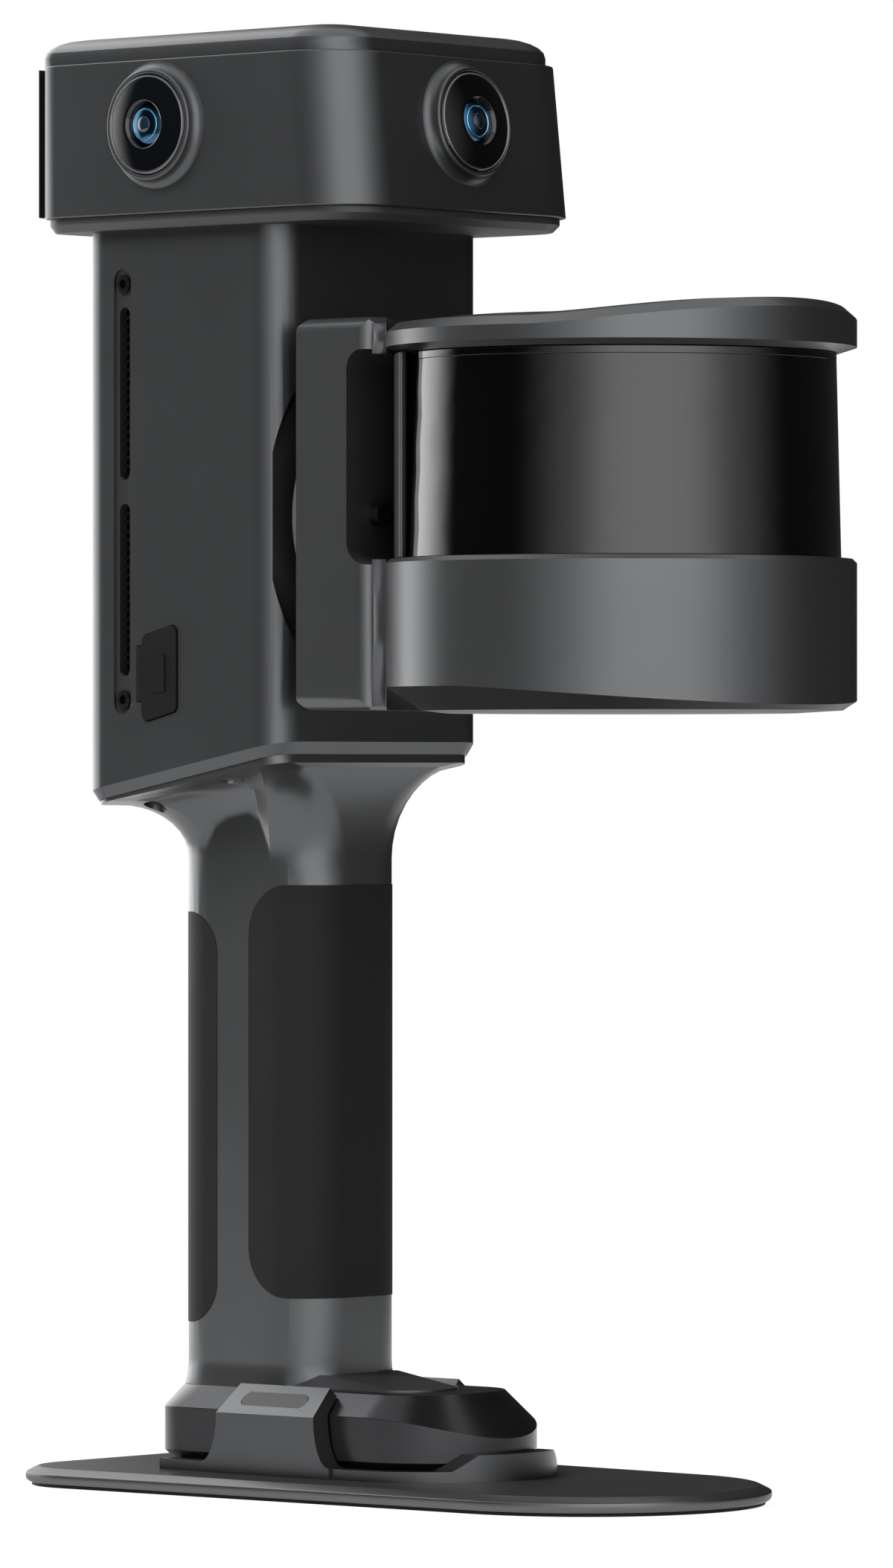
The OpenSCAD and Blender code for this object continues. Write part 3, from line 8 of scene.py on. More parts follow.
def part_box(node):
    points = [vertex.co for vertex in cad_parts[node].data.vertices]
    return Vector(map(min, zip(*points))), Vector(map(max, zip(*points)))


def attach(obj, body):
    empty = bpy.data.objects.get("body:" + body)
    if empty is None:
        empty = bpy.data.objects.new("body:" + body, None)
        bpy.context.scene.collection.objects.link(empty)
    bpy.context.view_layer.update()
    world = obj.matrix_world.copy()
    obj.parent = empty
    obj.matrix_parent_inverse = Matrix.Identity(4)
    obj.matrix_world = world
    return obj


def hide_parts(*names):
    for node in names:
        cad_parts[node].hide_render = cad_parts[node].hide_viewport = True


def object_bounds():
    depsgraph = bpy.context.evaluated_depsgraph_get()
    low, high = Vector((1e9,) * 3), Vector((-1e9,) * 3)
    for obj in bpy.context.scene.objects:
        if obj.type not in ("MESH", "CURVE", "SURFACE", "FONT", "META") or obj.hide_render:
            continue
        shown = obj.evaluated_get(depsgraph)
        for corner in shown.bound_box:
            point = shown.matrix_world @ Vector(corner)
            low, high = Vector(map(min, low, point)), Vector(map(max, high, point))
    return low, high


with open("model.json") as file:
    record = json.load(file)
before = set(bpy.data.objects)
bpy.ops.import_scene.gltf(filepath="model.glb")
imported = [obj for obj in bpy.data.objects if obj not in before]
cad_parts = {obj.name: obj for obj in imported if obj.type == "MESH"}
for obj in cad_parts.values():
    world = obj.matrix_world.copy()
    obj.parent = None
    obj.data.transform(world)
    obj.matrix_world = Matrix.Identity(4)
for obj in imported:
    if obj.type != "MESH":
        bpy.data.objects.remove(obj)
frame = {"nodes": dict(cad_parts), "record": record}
nodes = frame["nodes"]
cad_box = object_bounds()
MM = 0.001
HALF_TURN = 180
QUARTER_TURN = 90

# Camera, as the photograph was taken: level, far away, with a long lens
CAMERA_SIDE = math.radians(48.827)
CAMERA_DISTANCE = 2313.8 * MM
CAMERA_ASIDE = 37.65 * MM
CAMERA_HEIGHT = 170.8 * MM
LENS_MM = 220.5
SENSOR_MM = 36
HORIZON_SHIFT = -0.0058
FAR_CLIP = 20


def make_camera():
    data = bpy.data.cameras.new("camera")
    data.lens = LENS_MM
    data.sensor_width = SENSOR_MM
    data.shift_y = HORIZON_SHIFT
    data.clip_end = FAR_CLIP
    cam = bpy.data.objects.new("camera", data)
    s, c = math.sin(CAMERA_SIDE), math.cos(CAMERA_SIDE)
    cam.location = (
        CAMERA_ASIDE * c - CAMERA_DISTANCE * s,
        -CAMERA_ASIDE * s - CAMERA_DISTANCE * c,
        CAMERA_HEIGHT,
    )
    cam.rotation_euler = (math.pi / 2, 0, -CAMERA_SIDE)
    bpy.context.scene.collection.objects.link(cam)
    bpy.context.scene.camera = cam


# Materials. TONES are the darkest and the lightest share of a colour, PATCH is a noise's scale per
# metre, SHEEN is how far the roughness departs from its value, down and up, and RELIEF is the height
# of a grain in metres. SOFT to RICH are a noise's levels of detail.
SOFT = 2
MEDIUM = 3
FULL = 4
RICH = 5
RAMP_ENDS = (0.3, 0.7)
METAL_TONES = (0.95, 1.06)
METAL_PATCH = 14
METAL_SHEEN = (-0.03, 0.04)
METAL_SHEEN_PATCH = 60
METAL_RELIEF = 0.00004
RUBBER_TONES = (0.9, 1.12)
RUBBER_PATCH = 30
RUBBER_SHEEN = (-0.05, 0.06)
RUBBER_RELIEF = 0.00006
PLASTIC_TONES = (0.92, 1.1)
PLASTIC_PATCH = 22
PLASTIC_SHEEN = (-0.04, 0.05)
PLASTIC_RELIEF = 0.00005
STEEL_TONES = (0.86, 1.1)
STEEL_SHEEN = (-0.06, 0.1)
STEEL_NOISE_ROUGH = 0.7
STEEL_RELIEF = 0.00003
WINDOW_TONES = (0.8, 1.3)
WINDOW_PATCH = 9
WINDOW_SMEAR = 0.02
WINDOW_IOR = 1.58
WINDOW_COAT_ROUGH = 0.03
BOARD_TONES = (0.8, 2.2)
BOARD_PITCH = 260
BOARD_TRACE = 0.03
BOARD_PATCH = 400
BOARD_ROUGH = (0.3, 0.45)
BOARD_RELIEF = 0.00005
BOARD_DEPTH = 0.2
COATING_TONES = (0.7, 1.3)
COATING_PATCH = 140
COATING_SMEAR = 0.05
COATING_COAT_ROUGH = 0.02


def new_material(name):
    mat = bpy.data.materials.new(name)
    mat.use_nodes = True
    tree = mat.node_tree
    shader = tree.nodes["Principled BSDF"]
    return mat, tree, shader


def object_coords(tree, scale=(1, 1, 1)):
    coord = tree.nodes.new("ShaderNodeTexCoord")
    mapping = tree.nodes.new("ShaderNodeMapping")
    mapping.inputs["Scale"].default_value = scale
    tree.links.new(coord.outputs["Object"], mapping.inputs["Vector"])
    return mapping.outputs["Vector"]


def noise(tree, vector, scale, detail=FULL, rough=0.55):
    node = tree.nodes.new("ShaderNodeTexNoise")
    node.inputs["Scale"].default_value = scale
    node.inputs["Detail"].default_value = detail
    node.inputs["Roughness"].default_value = rough
    tree.links.new(vector, node.inputs["Vector"])
    return node.outputs["Fac"]


def shade(rgb, k):
    return tuple(min(1, c * k) for c in rgb)


def colour(tree, shader, value, rgb, tones):
    """The value turns the base colour between its darkest and lightest tone."""
    node = tree.nodes.new("ShaderNodeValToRGB")
    for element, position, tone in zip(node.color_ramp.elements, RAMP_ENDS, tones):
        element.position = position
        element.color = (*shade(rgb, tone), 1)
    tree.links.new(value, node.inputs["Fac"])
    tree.links.new(node.outputs["Color"], shader.inputs["Base Color"])


def roughness(tree, shader, value, low, high):
    node = tree.nodes.new("ShaderNodeMapRange")
    node.inputs["To Min"].default_value = low
    node.inputs["To Max"].default_value = high
    tree.links.new(value, node.inputs["Value"])
    tree.links.new(node.outputs["Result"], shader.inputs["Roughness"])


def bump(tree, shader, height, strength, distance):
    node = tree.nodes.new("ShaderNodeBump")
    node.inputs["Strength"].default_value = strength
    node.inputs["Distance"].default_value = distance
    tree.links.new(height, node.inputs["Height"])
    tree.links.new(node.outputs["Normal"], shader.inputs["Normal"])


def blasted_metal(name, rgb, rough=0.34, metallic=0.75, grain=5200, depth=0.02, edge=1):
    """Bead-blasted, anodised metal: fine grain, slow change in tone, slight change in gloss.
    An edge below 1 darkens it where it is seen at a flat angle."""
    mat, tree, shader = new_material(name)
    at = object_coords(tree)
    sheen = noise(tree, at, METAL_SHEEN_PATCH, RICH)
    colour(tree, shader, noise(tree, at, METAL_PATCH, MEDIUM), rgb, METAL_TONES)
    roughness(tree, shader, sheen, rough + METAL_SHEEN[0], rough + METAL_SHEEN[1])
    shader.inputs["Metallic"].default_value = metallic
    shader.inputs["Specular Tint"].default_value = (edge, edge, edge, 1)
    bump(tree, shader, noise(tree, at, grain, SOFT), depth, METAL_RELIEF)
    return mat


def grained_rubber(name, rgb, rough=0.62, cell=2600, depth=0.25, gloss=0.25):
    """Moulded rubber with a fine leather-like grain."""
    mat, tree, shader = new_material(name)
    at = object_coords(tree)
    cells = tree.nodes.new("ShaderNodeTexVoronoi")
    cells.inputs["Scale"].default_value = cell
    tree.links.new(at, cells.inputs["Vector"])
    slow = noise(tree, at, RUBBER_PATCH, FULL)
    colour(tree, shader, slow, rgb, RUBBER_TONES)
    roughness(tree, shader, slow, rough + RUBBER_SHEEN[0], rough + RUBBER_SHEEN[1])
    shader.inputs["Specular IOR Level"].default_value = gloss
    bump(tree, shader, cells.outputs["Distance"], depth, RUBBER_RELIEF)
    return mat


def moulded_plastic(name, rgb, rough=0.45, grain=3000, depth=0.08):
    """Fine-textured moulded plastic."""
    mat, tree, shader = new_material(name)
    at = object_coords(tree)
    slow = noise(tree, at, PLASTIC_PATCH, MEDIUM)
    colour(tree, shader, slow, rgb, PLASTIC_TONES)
    roughness(tree, shader, slow, rough + PLASTIC_SHEEN[0], rough + PLASTIC_SHEEN[1])
    bump(tree, shader, noise(tree, at, grain, MEDIUM), depth, PLASTIC_RELIEF)
    return mat


def turned_steel(name, rgb, rough=0.28, streak=(1, 1, 40), scale=900, depth=0.08):
    """Machined metal with tool marks along one direction."""
    mat, tree, shader = new_material(name)
    marks = noise(tree, object_coords(tree, streak), scale, MEDIUM, STEEL_NOISE_ROUGH)
    colour(tree, shader, marks, rgb, STEEL_TONES)
    roughness(tree, shader, marks, rough + STEEL_SHEEN[0], rough + STEEL_SHEEN[1])
    shader.inputs["Metallic"].default_value = 1
    bump(tree, shader, marks, depth, STEEL_RELIEF)
    return mat


def polished_window(name, rgb, rough, coat):
    """Near-black polycarbonate: a polished coat over a dark body, with the faintest haze."""
    mat, tree, shader = new_material(name)
    haze = noise(tree, object_coords(tree), WINDOW_PATCH, RICH)
    colour(tree, shader, haze, rgb, WINDOW_TONES)
    roughness(tree, shader, haze, rough, rough + WINDOW_SMEAR)
    shader.inputs["IOR"].default_value = WINDOW_IOR
    shader.inputs["Coat Weight"].default_value = coat
    shader.inputs["Coat Roughness"].default_value = WINDOW_COAT_ROUGH
    return mat


def circuit_board(name, rgb):
    """Solder mask with lighter traces."""
    mat, tree, shader = new_material(name)
    at = object_coords(tree)
    lines = tree.nodes.new("ShaderNodeTexBrick")
    lines.inputs["Scale"].default_value = BOARD_PITCH
    lines.inputs["Color1"].default_value = (*rgb, 1)
    lines.inputs["Color2"].default_value = (*shade(rgb, BOARD_TONES[0]), 1)
    lines.inputs["Mortar"].default_value = (*shade(rgb, BOARD_TONES[1]), 1)
    lines.inputs["Mortar Size"].default_value = BOARD_TRACE
    tree.links.new(at, lines.inputs["Vector"])
    tree.links.new(lines.outputs["Color"], shader.inputs["Base Color"])
    roughness(tree, shader, noise(tree, at, BOARD_PATCH, MEDIUM), *BOARD_ROUGH)
    bump(tree, shader, lines.outputs["Fac"], BOARD_DEPTH, BOARD_RELIEF)
    return mat


def lens_coating(name, rgb, rough, metallic):
    """Vapour-coated glass: a coloured mirror with slow changes of tint."""
    mat, tree, shader = new_material(name)
    slow = noise(tree, object_coords(tree), COATING_PATCH, MEDIUM)
    colour(tree, shader, slow, rgb, COATING_TONES)
    roughness(tree, shader, slow, rough, rough + COATING_SMEAR)
    shader.inputs["Metallic"].default_value = metallic
    shader.inputs["Coat Weight"].default_value = 1
    shader.inputs["Coat Roughness"].default_value = COATING_COAT_ROUGH
    return mat


# The look of each material slot
LOOKS = {
    "shell": blasted_metal("shell_metal", (0.085, 0.087, 0.09), rough=0.32, metallic=0.88),
    "base_metal": blasted_metal(
        "base_metal", (0.12, 0.121, 0.123), rough=0.3, metallic=0.9, depth=0, edge=0.6
    ),
    "cradle_metal": blasted_metal("cradle_metal", (0.1, 0.102, 0.105), rough=0.28, metallic=0.955),
    "rubber_pad": grained_rubber("grip_rubber", (0.006, 0.0062, 0.0064), gloss=0.16),
    "flap_rubber": grained_rubber(
        "flap_rubber", (0.004, 0.004, 0.0042), rough=0.55, cell=3600, depth=0.15, gloss=0.12
    ),
    "dark_plastic": moulded_plastic("dark_plastic", (0.018, 0.0185, 0.019)),
    "screw_steel": turned_steel("screw_steel", (0.34, 0.345, 0.35)),
    "machined": turned_steel("machined_metal", (0.5, 0.51, 0.52), rough=0.34, streak=(1, 30, 1)),
    "window_glass": polished_window("window_glass", (0.0003, 0.0003, 0.0003), rough=0.08, coat=0.25),
    "lens_glass": polished_window("lens_glass", (0.004, 0.006, 0.012), rough=0.02, coat=1),
    "board_green": circuit_board("board_green", (0.01, 0.07, 0.03)),
    "copper": turned_steel("wound_copper", (0.55, 0.25, 0.12), rough=0.35, streak=(1, 60, 1)),
    "cell_wrap": moulded_plastic("cell_wrap", (0.02, 0.09, 0.2), rough=0.3),
    "grille_steel": turned_steel("grille_steel", (0.03, 0.03, 0.032), rough=0.45),
}
LENS_GLASS = polished_window("lens_dome_glass", (0.001, 0.0012, 0.0016), rough=0.02, coat=0)
LENS_COATING = lens_coating("lens_coating", (0.008, 0.09, 0.2), 0.16, 1)
LENS_RING = lens_coating("lens_ring", (0.12, 0.5, 0.8), 0.2, 1)
LENS_RIM = turned_steel("lens_rim", (0.3, 0.31, 0.32), rough=0.3)
LENS_PUPIL = lens_coating("lens_pupil", (0.002, 0.006, 0.012), 0.03, 0)
LENS_BLACK = moulded_plastic("lens_black", (0.003, 0.003, 0.0032), rough=0.5)
# A little smoother copy of the shell's metal whose lighter colour is painted light on the arm and the
# grip
SMOOTH_LIT_METAL = blasted_metal("smooth_painted_light_metal", (0.098, 0.1, 0.103), rough=0.29, metallic=0.87)
FOOT_METAL = blasted_metal("foot_metal", (0.05, 0.051, 0.053), rough=0.26, metallic=0.95)
# A darker copy of the arm's metal: painted shade on faces that look down
UNDERSIDE_SHADE_METAL = blasted_metal("painted_shade_metal", (0.02, 0.02, 0.021), rough=0.4, metallic=0.9)
DARK_STEEL = turned_steel("dark_steel", (0.05, 0.05, 0.052), rough=0.4)
# Nodes that look other than their slot. The arm and the grip are a little smoother than the body, and
# painted
# lighter than it: a lit copy of the body's metal that stands in for more light on them.
NODE_LOOKS = {
    "arm_bracket": SMOOTH_LIT_METAL,
    "rear_shield": SMOOTH_LIT_METAL,
    "handle_shell": SMOOTH_LIT_METAL,
    "hub_flange": SMOOTH_LIT_METAL,
    "lens_barrels": LENS_BLACK,
    "bracket_screws": DARK_STEEL,
    "rear_cover_screws": DARK_STEEL,
    "foot": FOOT_METAL,
    "puck_top": LOOKS["window_glass"],
}

# Edges: the bevel of each slot, and of the slots that aren't named
BEVELS_MM = {
    "shell": 0.45,
    "base_metal": 0.35,
    "cradle_metal": 0.45,
    "rubber_pad": 0.3,
    "flap_rubber": 0.2,
}
SMALL_BEVEL_MM = 0.12
BEVEL_FROM = math.radians(20)
WELD_MM = 0.002
NORMAL_WEIGHT = 60
QUAD_CORNERS = 4
MATRIX_SIZE = 4


def add_edges(obj, width):
    weld = obj.modifiers.new("weld", "WELD")
    weld.merge_threshold = WELD_MM * MM
    bevel = obj.modifiers.new("bevel", "BEVEL")
    bevel.width = width * MM
    bevel.segments = 2
    bevel.limit_method = "ANGLE"
    bevel.angle_limit = BEVEL_FROM
    bevel.use_clamp_overlap = True
    normals = obj.modifiers.new("normals", "WEIGHTED_NORMAL")
    normals.weight = NORMAL_WEIGHT
    normals.keep_sharp = True


def dress_nodes():
    slots = {s["node"]: s["material_slot"] for s in frame["record"]["subparts"]}
    for name, obj in nodes.items():
        look = slots[name]
        obj.data.materials.clear()
        obj.data.materials.append(NODE_LOOKS.get(name, LOOKS[look]))
        for poly in obj.data.polygons:
            poly.use_smooth = True
        add_edges(obj, BEVELS_MM.get(look, SMALL_BEVEL_MM))


def add_piece(name, verts, faces, look, prepare=None, flat_ends=False):
    """A mesh with its look, in the scene. It is smooth, apart from many-sided ends where asked."""
    mesh = bpy.data.meshes.new(name)
    mesh.from_pydata(verts, [], faces)
    work = bmesh.new()
    work.from_mesh(mesh)
    if prepare:
        prepare(work)
    bmesh.ops.recalc_face_normals(work, faces=work.faces)
    for face in work.faces:
        face.smooth = not flat_ends or len(face.verts) == QUAD_CORNERS
    work.to_mesh(mesh)
    work.free()
    mesh.materials.append(look)
    obj = bpy.data.objects.new(name, mesh)
    bpy.context.scene.collection.objects.link(obj)
    return obj


# Lenses: a ring of black glossy glass with a thin steel rim near its edge, and in its hole a blue
# coated lens with a bright ring and a dark pupil
HEAD_LEAN_MM = 4.1
LENS_RING_MM = 15.4
GLASS_BACK_MM = 1.8
GLASS_EDGE_MM = 3.4
GLASS_TOP_MM = 5.15
GLASS_R_MM = 11.85
HOLE_R_MM = 5.7
HOLE_STEP_MM = 0.3
INNER_EDGE_MM = 3.0
INNER_TOP_MM = 4.7
RING_R_MM = 3.7
RING_AT_MM = 4.0
RING_THICK_MM = 0.24
RIM_IN_MM = 0.35
RIM_AT_MM = 3.55
RIM_THICK_MM = 0.18
PUPIL_R_MM = 1.9
PUPIL_SINK_MM = 0.9
PUPIL_EDGE_MM = 4.55
PUPIL_TOP_MM = 5
TURN_STEPS = 72
DOME_STEPS = 14
CIRCLE_STEPS = 12
MERGE_M = 1e-7


def turned(angle, axis):
    return Matrix.Rotation(angle, MATRIX_SIZE, axis)


def lens_places():
    """Matrices from each lens's own frame, z outward and in millimetres, to the object's."""
    low, high = (Vector(c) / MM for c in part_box("head_shell"))
    ring_low, ring_high = (Vector(c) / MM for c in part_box("lens_bezels"))
    z = (ring_low.z + ring_high.z) / 2
    side_y = ring_high.y - LENS_RING_MM
    lean = math.atan2(HEAD_LEAN_MM, high.z - low.z)
    front_y = low.y + HEAD_LEAN_MM * (z - low.z) / (high.z - low.z)
    front = Matrix.Translation((0, front_y, z)) @ turned(math.pi / 2 - lean, "X")
    left = Matrix.Translation((low.x, side_y, z)) @ turned(-math.pi / 2, "Y")
    right = Matrix.Translation((high.x, side_y, z)) @ turned(math.pi / 2, "Y")
    return [front, left, right]


def merge_doubles(work):
    bmesh.ops.remove_doubles(work, verts=work.verts, dist=MERGE_M)


def revolve(name, profile, places, look):
    """One mesh with the profile of (radius, height) in millimetres turned about z at each place."""
    count = len(profile)
    verts = []
    faces = []
    for place in places:
        base = len(verts)
        for k in range(TURN_STEPS):
            a = 2 * math.pi * k / TURN_STEPS
            ring = [Vector((r * math.cos(a), r * math.sin(a), z)) for r, z in profile]
            verts += [(place @ point) * MM for point in ring]
            this = base + k * count
            following = base + (k + 1) % TURN_STEPS * count
            faces += [
                (this + i, following + i, following + i + 1, this + i + 1) for i in range(count - 1)
            ]
    return add_piece(name, verts, faces, look, merge_doubles)


def dome(radius, edge, top):
    """Points of a spherical cap from its edge to its top."""
    rise = top - edge
    ball = (radius * radius + rise * rise) / (2 * rise)
    reach = math.asin(radius / ball)
    angles = [reach * (1 - i / DOME_STEPS) for i in range(DOME_STEPS + 1)]
    return [(ball * math.sin(a), top - ball * (1 - math.cos(a))) for a in angles]


def circle(radius, height, thick):
    """A closed ring section of that thickness, round (radius, height)."""
    angles = [2 * math.pi * i / CIRCLE_STEPS for i in range(CIRCLE_STEPS + 1)]
    return [(radius + thick * math.cos(a), height + thick * math.sin(a)) for a in angles]


def make_lenses():
    places = lens_places()
    outer = dome(GLASS_R_MM, GLASS_EDGE_MM, GLASS_TOP_MM)
    glass = [(GLASS_R_MM, GLASS_BACK_MM)] + [point for point in outer if point[0] > HOLE_R_MM]
    glass += [(HOLE_R_MM, glass[-1][1]), (HOLE_R_MM - HOLE_STEP_MM, GLASS_BACK_MM)]
    inner = [(HOLE_R_MM, GLASS_BACK_MM)] + dome(HOLE_R_MM, INNER_EDGE_MM, INNER_TOP_MM)
    ring = circle(RING_R_MM, RING_AT_MM, RING_THICK_MM)
    edge = circle(GLASS_R_MM - RIM_IN_MM, RIM_AT_MM, RIM_THICK_MM)
    pupil = [(PUPIL_R_MM, INNER_TOP_MM - PUPIL_SINK_MM)]
    pupil += dome(PUPIL_R_MM, PUPIL_EDGE_MM, PUPIL_TOP_MM)
    domes = revolve("lens_domes", glass, places, LENS_GLASS)
    coated = revolve("inner_lenses", inner, places, LENS_COATING)
    rings = revolve("inner_rings", ring, places, LENS_RING)
    rim = revolve("inner_rims", edge, places, LENS_RIM)
    pupils = revolve("pupils", pupil, places, LENS_PUPIL)
    for piece in (domes, coated, rings, rim, pupils):
        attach(piece, "scanner")
    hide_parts("lens_glasses")


# Arm: the cup and the cap, whose edges change height in a wave from front to back, and the grooves
# beside the bracket. CAP_CROWN_MM and CUP_CUT_MM are (at the back, at the front), and
# CAP_CHAMFER_MM is (inward, upward).
WAVE_STEPS = 144
WAVE_POWER = 1.3
CAP_WAVE_REACH = 72
CUP_WAVE_REACH = 95
CAP_WAVE_MM = 4.6
CUP_WAVE_MM = 4.3
CAP_LOW_INSET_MM = 4.1
CAP_LOW_CHAMFER_MM = 1.3
CAP_BAND_MM = 3.4
CAP_CHAMFER_MM = (2.4, 2.1)
CAP_SHOULDER_MM = 14
CAP_CROWN_MM = (1.3, 0.2)
CAP_MIDDLE_MM = 9.4
CAP_CRISP_RINGS = 4
CUP_FLAT_MM = 14
CUP_RISE_MM = 0.6
CUP_EDGE_MM = 6.1
CUP_CUT_MM = (8.5, 1.8)
CUP_RIM_MM = 1
SHADED_FACES_DOWN = -0.2
CUP_WALL_MM = 3.3
CUP_FLOOR_MM = 8
BRACKET_EDGE_MM = 4.5
GROOVE_MM = 2.6
GROOVE_END_MM = 1.6
GROOVE_STEPS = 10


def wave(turn, reach):
    """1 at the front, falling to 0 at reach degrees from it on either side."""
    return math.cos(math.radians(QUARTER_TURN * min(turn, reach) / reach)) ** WAVE_POWER


def from_back_to_front(pair, w):
    return pair[0] + (pair[1] - pair[0]) * w


def wave_loft(name, rings, centre, crisp_rings, look):
    """Rings are functions of the turn from the front, in degrees, that give (radius, height) in
    metres. The first crisp_rings of them are sharp edges."""
    n = WAVE_STEPS
    verts = []
    faces = []
    for ring in rings:
        for k in range(n):
            a = 2 * math.pi * k / n
            turn = abs((math.degrees(a) + HALF_TURN) % (2 * HALF_TURN) - HALF_TURN)
            r, z = ring(turn)
            verts.append((centre.x - r * math.sin(a), centre.y - r * math.cos(a), z))
    for level in range(len(rings) - 1):
        low, high = level * n, (level + 1) * n
        for k in range(n):
            following = (k + 1) % n
            faces.append((low + k, low + following, high + following, high + k))

    def sharpen_and_close(work):
        work.verts.ensure_lookup_table()
        for edge in work.edges:
            a, b = (v.index for v in edge.verts)
            edge.smooth = not (a // n == b // n and a // n < crisp_rings)
        ends = [e for e in work.edges if e.is_boundary]
        bmesh.ops.holes_fill(work, edges=ends, sides=0)

    return add_piece(name, verts, faces, look, sharpen_and_close)


def arm_places():
    """Centre of the lidar, and its housing's radius, base, rim and cap heights, in metres."""
    low, high = (Vector(c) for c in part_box("lidar_cup"))
    cap_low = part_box("arm_cap")[0][2]
    radius = (high.x - low.x) / 2
    centre = Vector(((low.x + high.x) / 2, low.y + radius, 0))
    return centre, radius, low.z, high.z, cap_low


def make_cup(centre, radius, base, rim):
    def inset(turn):
        return from_back_to_front(CUP_CUT_MM, wave(turn, CUP_WAVE_REACH)) * MM

    def edge(turn):
        return base + (CUP_EDGE_MM - CUP_WAVE_MM * wave(turn, CUP_WAVE_REACH)) * MM

    rings = [
        lambda turn: (radius - CUP_FLAT_MM * MM, base),
        lambda turn: (radius - inset(turn), base + CUP_RISE_MM * MM),
        lambda turn: (radius, edge(turn)),
        lambda turn: (radius, rim - CUP_RIM_MM * MM),
        lambda turn: (radius - CUP_RIM_MM * MM, rim),
        lambda turn: (radius - CUP_WALL_MM * MM, rim),
        lambda turn: (radius - CUP_WALL_MM * MM, base + CUP_FLOOR_MM * MM),
    ]
    cup = wave_loft("cup", rings, centre, len(rings), SMOOTH_LIT_METAL)
    # Faces that look down get the darker copy of the metal: painted shade under the cup
    cup.data.materials.append(UNDERSIDE_SHADE_METAL)
    for face in cup.data.polygons:
        if face.normal.z < SHADED_FACES_DOWN:
            face.material_index = 1
    return cup


def make_cap(centre, radius, low):
    def edge(turn):
        w = wave(turn, CAP_WAVE_REACH)
        return low + (CAP_LOW_CHAMFER_MM + CAP_BAND_MM + CAP_WAVE_MM * w) * MM

    def crown(turn):
        w = wave(turn, CAP_WAVE_REACH)
        return edge(turn) + (CAP_CHAMFER_MM[1] + from_back_to_front(CAP_CROWN_MM, w)) * MM

    rings = [
        lambda turn: (radius - CAP_LOW_INSET_MM * MM, low),
        lambda turn: (radius, low + CAP_LOW_CHAMFER_MM * MM),
        lambda turn: (radius, edge(turn)),
        lambda turn: (radius - CAP_CHAMFER_MM[0] * MM, edge(turn) + CAP_CHAMFER_MM[1] * MM),
        lambda turn: (radius - CAP_SHOULDER_MM * MM, crown(turn)),
        lambda turn: (CAP_SHOULDER_MM * MM, low + CAP_MIDDLE_MM * MM),
    ]
    return wave_loft("cap", rings, centre, CAP_CRISP_RINGS, SMOOTH_LIT_METAL)


def tangent_circle(a, ra, b, rb, r):
    """Centre of a circle of radius r that touches both circles from outside, on the outer side."""
    gap = b - a
    d = gap.length
    along = ((ra + r) ** 2 - (rb + r) ** 2 + d * d) / (2 * d)
    aside = math.sqrt(max((ra + r) ** 2 - along * along, 0))
    unit = gap.normalized()
    return a + unit * along + Vector((unit.y, -unit.x)) * aside


def groove_outline(centre, radius, low):
    """The concave arc between the bracket's round edge and the housing, and a point inside both."""
    r, groove = BRACKET_EDGE_MM * MM, GROOVE_MM * MM
    corner = Vector((low.x + r, low.y + r))
    middle = Vector((centre.x, centre.y))
    at = tangent_circle(corner, r, middle, radius, groove)
    if at.x > corner.x:
        at = tangent_circle(middle, radius, corner, r, groove)
    start, end = corner - at, middle - at
    first = math.atan2(start.y, start.x)
    turn = (math.atan2(end.y, end.x) - first + math.pi) % (2 * math.pi) - math.pi
    angles = [first + turn * k / GROOVE_STEPS for k in range(GROOVE_STEPS + 1)]
    arc = [Vector((at.x + groove * math.cos(a), at.y + groove * math.sin(a))) for a in angles]
    return arc + [corner + (middle - corner).normalized() * r]


def make_grooves(centre, radius, base, rim, cap_low):
    """Concave strips that close the crease between the bracket's round edge and the housing."""
    low, high = (Vector(c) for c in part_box("arm_bracket"))
    outline = groove_outline(centre, radius, low)
    count = len(outline)
    end_gap = GROOVE_END_MM * MM
    spans = ((base + end_gap, rim), (cap_low, high.z - end_gap))
    verts = []
    faces = []
    for side in (1, -1):
        for span in spans:
            first = len(verts)
            verts += [(side * p.x, p.y, z) for z in span for p in outline]
            for k in range(count):
                following = (k + 1) % count
                side_face = (k, following, count + following, count + k)
                faces.append(tuple(first + i for i in side_face))
            faces.append(tuple(first + i for i in range(count)))
            faces.append(tuple(first + count + i for i in range(count)))
    return add_piece("grooves", verts, faces, SMOOTH_LIT_METAL, flat_ends=True)


def make_arm():
    centre, radius, base, rim, cap_low = arm_places()
    cup = make_cup(centre, radius, base, rim)
    cap = make_cap(centre, radius, cap_low)
    grooves = make_grooves(centre, radius, base, rim, cap_low)
    for piece in (cup, cap, grooves):
        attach(piece, "arm")
    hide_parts("lidar_cup")
    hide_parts("arm_cap")


# Floor, backdrop and light
FLOOR_SIZE = 8
FLOOR_DROP = 0.00002
FLOOR_GREY = 0.8
FLOOR_ROUGH = 0.9
FLOOR_GLOW = 0.93
FLOOR_WHITE = 1.03
TENT_R = 0.9
TENT_H = 1.3
TENT_SIDES = 128
TENT_DARK = 0.03
# Azimuth and half width in degrees, strength, the full core's half width in degrees, and the
# power of the fall-off. An azimuth is measured from the front, -Y, and grows toward the left, -X.
TENT_LIGHTS = (
    (30, 76, 1.05, 2, 1.6),
    (30, 44, 1.1, 1, 1.9),
    (186, 44, 2.8, 4, 1.2),
)
LAMP_SIZE = 0.6
LAMP_WATTS = 32
LAMP_AZIMUTH = 112
LAMP_RISE = 42
LAMP_DISTANCE = 1
LAMP_AIM = 0.6


def calculate(tree, operation, a, b):
    """A math node of two values, each a number or a socket."""
    node = tree.nodes.new("ShaderNodeMath")
    node.operation = operation
    for value, socket in ((a, node.inputs[0]), (b, node.inputs[1])):
        if isinstance(value, (int, float)):
            socket.default_value = value
        else:
            tree.links.new(value, socket)
    return node.outputs[0]


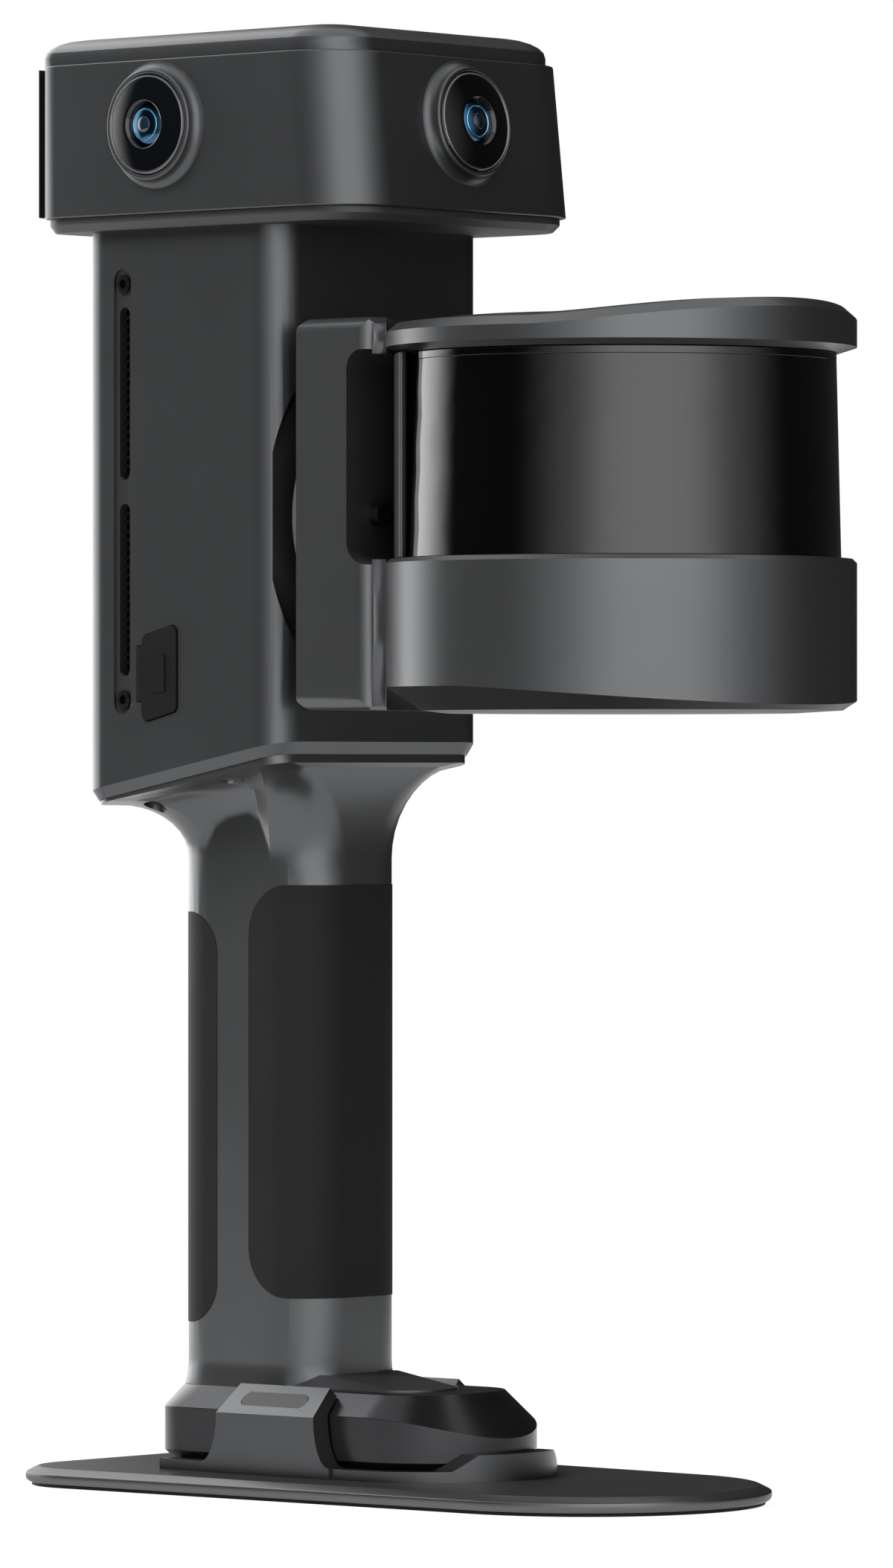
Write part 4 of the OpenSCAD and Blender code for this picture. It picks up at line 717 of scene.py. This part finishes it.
def background_rays(tree):
    """1 for the rays that should see the plain background: from the camera, off metal, through glass."""
    path = tree.nodes.new("ShaderNodeLightPath")
    value = path.outputs["Is Camera Ray"]
    for kind in ("Is Glossy Ray", "Is Transmission Ray"):
        value = calculate(tree, "MAXIMUM", value, path.outputs[kind])
    return value


def make_floor():
    z = cad_box[0][2] - FLOOR_DROP
    bpy.ops.mesh.primitive_plane_add(size=FLOOR_SIZE, location=(0, 0, z))
    floor = bpy.context.object
    floor.name = "floor"
    mat, tree, shader = new_material("floor_white")
    shader.inputs["Base Color"].default_value = (FLOOR_GREY, FLOOR_GREY, FLOOR_GREY, 1)
    shader.inputs["Roughness"].default_value = FLOOR_ROUGH
    glow = tree.nodes.new("ShaderNodeEmission")
    glow.inputs["Color"].default_value = (1, 1, 1, 1)
    glow.inputs["Strength"].default_value = FLOOR_WHITE
    mix = tree.nodes.new("ShaderNodeMixShader")
    share = calculate(tree, "MULTIPLY", background_rays(tree), FLOOR_GLOW)
    tree.links.new(share, mix.inputs["Fac"])
    tree.links.new(shader.outputs["BSDF"], mix.inputs[1])
    tree.links.new(glow.outputs["Emission"], mix.inputs[2])
    tree.links.new(mix.outputs["Shader"], tree.nodes["Material Output"].inputs["Surface"])
    floor.data.materials.append(mat)


def make_world():
    world = bpy.data.worlds.new("studio")
    bpy.context.scene.world = world
    world.use_nodes = True
    white = world.node_tree.nodes["Background"]
    white.inputs["Color"].default_value = (1, 1, 1, 1)
    white.inputs["Strength"].default_value = 1


def lobe(tree, flat, azimuth, half_width, strength, core, power):
    """Light from one side of the tent that fades out smoothly."""
    a = math.radians(azimuth)
    dot = tree.nodes.new("ShaderNodeVectorMath")
    dot.operation = "DOT_PRODUCT"
    dot.inputs[1].default_value = (-math.sin(a), -math.cos(a), 0)
    tree.links.new(flat, dot.inputs[0])
    fade = tree.nodes.new("ShaderNodeMapRange")
    fade.interpolation_type = "SMOOTHSTEP"
    fade.inputs["From Min"].default_value = math.cos(math.radians(half_width))
    fade.inputs["From Max"].default_value = math.cos(math.radians(core))
    tree.links.new(dot.outputs["Value"], fade.inputs["Value"])
    shaped = calculate(tree, "POWER", fade.outputs["Result"], power)
    return calculate(tree, "MULTIPLY", shaped, strength)


def make_tent():
    """A light tent round the object, dark on two sides, as for a photograph of a dark glossy product.
    The camera looks through it."""
    bpy.ops.mesh.primitive_cylinder_add(
        vertices=TENT_SIDES,
        radius=TENT_R,
        depth=TENT_H,
        end_fill_type="NOTHING",
        location=(0, 0, TENT_H / 2),
    )
    tent = bpy.context.object
    tent.name = "tent"
    tent.visible_camera = False
    mat, tree, shader = new_material("tent_cloth")
    tree.nodes.remove(shader)
    coord = tree.nodes.new("ShaderNodeTexCoord")
    keep = tree.nodes.new("ShaderNodeVectorMath")
    keep.operation = "MULTIPLY"
    keep.inputs[1].default_value = (1, 1, 0)
    tree.links.new(coord.outputs["Object"], keep.inputs[0])
    unit = tree.nodes.new("ShaderNodeVectorMath")
    unit.operation = "NORMALIZE"
    tree.links.new(keep.outputs["Vector"], unit.inputs[0])
    total, *others = [lobe(tree, unit.outputs["Vector"], *light) for light in TENT_LIGHTS]
    for part in others + [TENT_DARK]:
        total = calculate(tree, "ADD", total, part)
    glow = tree.nodes.new("ShaderNodeEmission")
    tree.links.new(total, glow.inputs["Strength"])
    tree.links.new(glow.outputs["Emission"], tree.nodes["Material Output"].inputs["Surface"])
    tent.data.materials.append(mat)


def make_lamp():
    """A soft lamp above the left side. It isn't mirrored in the metal and the glass."""
    data = bpy.data.lights.new("top_lamp", "AREA")
    data.shape = "DISK"
    data.size = LAMP_SIZE
    data.energy = LAMP_WATTS
    lamp = bpy.data.objects.new("top_lamp", data)
    turn, rise = math.radians(LAMP_AZIMUTH), math.radians(LAMP_RISE)
    level = math.cos(rise)
    aim = Vector((0, 0, cad_box[1][2] * LAMP_AIM))
    to_lamp = Vector((-math.sin(turn) * level, -math.cos(turn) * level, math.sin(rise)))
    lamp.location = aim + to_lamp * LAMP_DISTANCE
    lamp.rotation_euler = to_lamp.to_track_quat("Z", "Y").to_euler()
    lamp.visible_camera = False
    lamp.visible_glossy = False
    bpy.context.scene.collection.objects.link(lamp)


bpy.context.scene.view_settings.view_transform = "Standard"
make_camera()
dress_nodes()
make_lenses()
make_arm()
make_floor()
make_world()
make_tent()
make_lamp()
